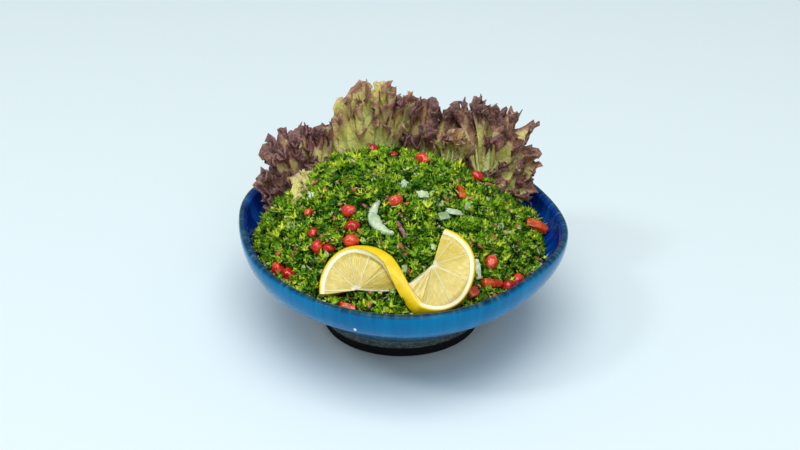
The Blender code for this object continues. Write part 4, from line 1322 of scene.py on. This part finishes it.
class SALAD_OT_herbs(bpy.types.Operator):
    """Fill the bowl with the core and strew the chopped bits over it"""

    bl_idname = "salad.herbs"
    bl_label = "Make the tabbouleh"

    def execute(self, context):
        look = context.scene.salad_herbs
        points, triangles, upper = make_core_mesh()
        core = from_arrays("herb_core", points, triangles, smooth=True)
        settle(core, herb_core_finish(), ["salad_heap"])
        toppings = [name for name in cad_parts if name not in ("bowl", "salad_heap")
                    and not name.startswith("lettuce")]
        seats = Seats(points, triangles[:upper], node_tree(toppings))
        rng = np.random.default_rng(look.seed)
        self.strew_parsley(rng, seats, look)
        self.strew_extras(rng, seats, look)
        return {"FINISHED"}

    def strew_parsley(self, rng, seats, look):
        """Four layers of cut leaf, from the dark one below, darkened as painted shade, to the curled
        tips on top.
        """
        big = look.leaflet_size
        under, upper = (
            herb_finish(name, [(place, tint(*colour)) for place, colour in zip(TONE_STOPS, tones)])
            for name, tones in (("parsley_under", PAINTED_SHADE_GREENS), ("parsley_upper", LUSH_GREENS)))
        # Each row: name, finish, kinds of shape, cut, count, lift, clearance, sizes, tilt, and tones
        # as mean, spread and painted light and shade by tuft.
        layers = (
            ("parsley_under_layer", under, 7, (7, 0.3, 0.2, 0.2), look.shade, (-0.8, 1.0), 0.5,
             (1.1 * MM, big), 0.7, (0.36, 0.22, 0.16)),
            ("parsley_fine_chop", upper, 8, (8, 0.35, 0.25, 0.1), look.chop, (0.2, 2.2), 0.7,
             (0.9 * MM, 2.1 * MM), 0.8, (0.42, 0.26, 0.22)),
            ("parsley_leaflets", upper, 8, (10, 0.42, 0.2, 0.3), look.leaflets, (0.6, 2.8), 1.3,
             (1.4 * MM, big), 0.55, (0.44, 0.25, 0.3)),
            ("parsley_curls", upper, 6, (14, 0.3, 0.42, 0.5), look.curls, (1.2, 3.2), 2.0,
             (2.0 * MM, 5.4 * MM), 0.5, (0.5, 0.24, 0.3)))
        for name, finish, kinds, cut, count, lift, clearance, sizes, tilt, tones in layers:
            shapes = [leaflet_shape(rng, *cut) for _ in range(kinds)]
            place = seats.draw(rng, count, lift, clearance)
            piece = strew(name, rng, shapes, place, [(size,) * 3 for size in sizes], tilt, tones)
            settle(piece, finish)

    def strew_extras(self, rng, seats, look):
        """Grains, stalks and small dice, thicker in some patches than in others."""
        stalks = [shred_shape(rng, 5, 0.6) for _ in range(4)]
        dice = [dice_shape(rng) for _ in range(5)]
        kinds = (
            ("bulgur_grains", [grain_shape()], look.grains, (1.4, 3.6), (0.8, 0.55, 0.5),
             (1.3, 0.85, 0.8), "bulgur", (168, 146, 84), (222, 208, 150), 0.45, "parsley"),
            ("stalk_bits", stalks, 620, (1.4, 3.4), (1.6, 0.4, 0.4),
             (3.6, 0.6, 0.6), "parsley_stalk", (96, 142, 40), (188, 204, 110), 0.35, "stalk"),
            ("onion_bits", dice, 320, (1.4, 3.2), (0.9, 0.8, 0.45),
             (2.6, 1.9, 0.7), "onion_bit", (150, 176, 108), (204, 222, 168), 0.2, "onion"),
            ("tomato_bits", dice, 270, (1.4, 3.4), (1.0, 0.8, 0.6),
             (3.0, 2.0, 1.1), "tomato_bit", (156, 70, 34), (204, 140, 96), 0.25, "tomato"),
            ("red_onion_bits", dice, 60, (0.8, 2.6), (1.0, 0.6, 0.4),
             (2.6, 1.0, 0.6), "red_onion_bit", (84, 26, 36), (134, 62, 62), 0.3, "red_onion"))
        for name, shapes, count, lift, small, large, skin, dark, light, roughness, slot in kinds:
            place = seats.draw(rng, 2 * count, lift, 1.6)
            patchy = cloud_at(place[0], PATCH_SIZE, len(name))
            patchy += rng.uniform(-0.35, 0.35, len(patchy))
            best = np.sort(np.argsort(-patchy)[:count])
            place = [part[best] for part in place]
            sizes = np.array((small, large)) * MM
            piece = strew(name, rng, shapes, place, sizes, 0.4, (0.5, 0.3, 0))
            settle(piece, crumb_finish(skin, tint(*dark), tint(*light), roughness))


class SALAD_OT_lettuce(bpy.types.Operator):
    """Ruffle the red lettuce leaves round the back"""

    bl_idname = "salad.lettuce"
    bl_label = "Make the lettuce"

    def execute(self, context):
        look = context.scene.salad_lettuce
        finish = leaf_finish()
        for number, (name, leaf) in enumerate(LEAVES.items()):
            parts = []
            for order, lobe in enumerate(leaf.lobes):
                parts.append(lobe_sheet(leaf, lobe, 1.7 * order + number))
            if name == "lettuce_left":
                for order, lobe in enumerate(FRILLS.lobes):
                    parts.append(lobe_sheet(FRILLS, lobe, 2.3 * order + 0.5))
            sheet = join(name + "_sheet", parts)
            apply_modifier(sheet, "SOLIDIFY", {"thickness": look.thickness, "offset": 0})
            ribs = []
            for place in leaf.ribs:
                share = leaf.stalk if abs(place) < STALK_WITHIN else SIDE_RIB
                ribs.append(rib_tube(leaf, place, look.rib * share))
                outward(ribs[-1], MERGE)
            piece = join(name + "_leaf", [sheet, *ribs])
            piece.data.shade_smooth()
            settle(piece, finish, [name])
        return {"FINISHED"}


class SALAD_OT_lemon(bpy.types.Operator):
    """Loft the twisted slice of lemon"""

    bl_idname = "salad.lemon"
    bl_label = "Make the lemon twist"

    def execute(self, context):
        piece = shaped_grid("lemon_slice", *LEMON_GRID, lemon_shape)
        outward(piece, MERGE)
        make_active(piece)
        bpy.ops.object.mode_set(mode="EDIT")
        bpy.ops.mesh.select_all(action="DESELECT")
        bpy.ops.mesh.select_mode(type="EDGE")
        bpy.ops.mesh.select_non_manifold()
        bpy.ops.mesh.fill()
        bpy.ops.object.mode_set(mode="OBJECT")
        outward(piece)
        make_active(piece)
        bpy.ops.object.shade_smooth_by_angle(angle=math.radians(50))
        look = colours_of(context.scene.salad_toppings)
        settle(piece, lemon_finish(look), ["lemon_twist"])
        return {"FINISHED"}


class SALAD_OT_toppings(bpy.types.Operator):
    """Round off the seeds and the cut vegetables on top"""

    bl_idname = "salad.toppings"
    bl_label = "Make the toppings"

    def execute(self, context):
        look = colours_of(context.scene.salad_toppings)
        seeds = aril_finish(look)
        for i, node in enumerate(ARILS):
            piece = softened_copy(node + "_seed", node, True, SEED_SWELL, SEED_LUMPS, i * 1.7)
            settle(piece, seeds, [node])
        cuts = (
            (TOMATOES, "tomato", (168, 40, 12), look["tomato"], (232, 122, 44), 0.16),
            (ONIONS, "onion", (150, 180, 138), look["onion"], (218, 230, 208), 0.2),
            (["cucumber_chip"], "cucumber", (96, 128, 78), tint(140, 168, 118),
             (178, 198, 150), 0.25),
            (["stalk_bit"], "stalk", (150, 140, 70), tint(184, 176, 100), (214, 206, 140), 0.4),
            (["red_onion_strip"], "red_onion", (66, 20, 30), tint(104, 40, 46),
             (150, 84, 84), 0.25))
        seed = 3.3
        for nodes, slot, dark, middle, light, roughness in cuts:
            flesh = cut_finish(slot + "_flesh", tint(*dark), middle, tint(*light), roughness)
            for node in nodes:
                swell = THIN_SWELL if node in THIN_CUTS else CUT_SWELL
                curved = node == "onion_crescent"
                piece = softened_copy(node + "_cut", node, curved, swell, CUT_LUMPS, seed)
                settle(piece, flesh, [node])
                seed += 2.1
        return {"FINISHED"}


class SALAD_OT_stage(bpy.types.Operator):
    """Lay the pale floor and set the lights and the camera"""

    bl_idname = "salad.stage"
    bl_label = "Make the stage"

    def execute(self, context):
        look = context.scene.salad_stage
        deselect()
        bpy.ops.mesh.primitive_plane_add(size=FLOOR_SIZE)
        floor = bpy.context.object
        floor.name = "floor"
        finish = Finish("pale_floor", {"Specular IOR Level": 0.2, "Roughness": 0.75})
        wash = finish.cloud(1.3, 1.0)
        colour = finish.blend(wash, tuple(look.floor), tuple(value * 1.03 for value in look.floor))
        floor.data.materials.append(finish.wear(colour))
        target = Vector((AXIS[0], AXIS[1], LOOK_HEIGHT))
        for name, place, size, power, colour in LAMPS:
            self.soft_light(name, place, size, power, colour, target)
        world = bpy.data.worlds.new("studio")
        context.scene.world = world
        world.use_nodes = True
        backdrop = world.node_tree.nodes["Background"]
        backdrop.inputs["Color"].default_value = SKY_COLOUR
        backdrop.inputs["Strength"].default_value = SKY_STRENGTH
        camera = bpy.data.cameras.new("camera")
        camera.sensor_width = 36
        camera.lens = look.lens
        camera.shift_x, camera.shift_y = CAMERA_SHIFT
        seat = add_object("camera", camera)
        back = Vector((0, -math.cos(look.elevation), math.sin(look.elevation)))
        seat.location = target + back * look.distance
        seat.rotation_euler = (-back).to_track_quat("-Z", "Y").to_euler()
        context.scene.camera = seat
        context.scene.view_settings.view_transform = "Standard"
        return {"FINISHED"}

    def soft_light(self, name, place, size, power, colour, target):
        """A square soft box that looks at the bowl."""
        lamp = bpy.data.lights.new(name, "AREA")
        lamp.size = size
        lamp.energy = power
        lamp.color = colour
        seat = add_object(name, lamp)
        seat.location = place
        seat.rotation_euler = (target - Vector(place)).to_track_quat("-Z", "Y").to_euler()


OPERATORS = (SALAD_OT_bowl, SALAD_OT_herbs, SALAD_OT_lettuce, SALAD_OT_lemon, SALAD_OT_toppings,
             SALAD_OT_stage)


class SALAD_PT_sidebar(bpy.types.Panel):
    """The salad's pieces and their settings"""

    bl_label = "Tabbouleh bowl"
    bl_idname = "SALAD_PT_sidebar"
    bl_space_type = "VIEW_3D"
    bl_region_type = "UI"
    bl_category = "Salad"

    def draw(self, context):
        for operator in OPERATORS:
            self.layout.operator(operator.bl_idname)
        for name, group in SETTINGS:
            box = self.layout.box()
            for key in group.__annotations__:
                box.prop(getattr(context.scene, name), key)


CLASSES = tuple(group for _, group in SETTINGS) + OPERATORS + (SALAD_PT_sidebar,)


def register():
    for made in CLASSES:
        bpy.utils.register_class(made)
    for name, group in SETTINGS:
        setattr(bpy.types.Scene, name, bpy.props.PointerProperty(type=group))


def unregister():
    for name, _ in SETTINGS:
        delattr(bpy.types.Scene, name)
    for made in reversed(CLASSES):
        bpy.utils.unregister_class(made)


def main():
    register()
    bpy.ops.salad.bowl()
    bpy.ops.salad.herbs()
    bpy.ops.salad.lettuce()
    bpy.ops.salad.lemon()
    bpy.ops.salad.toppings()
    bpy.ops.salad.stage()


if __name__ == "__main__":
    main()
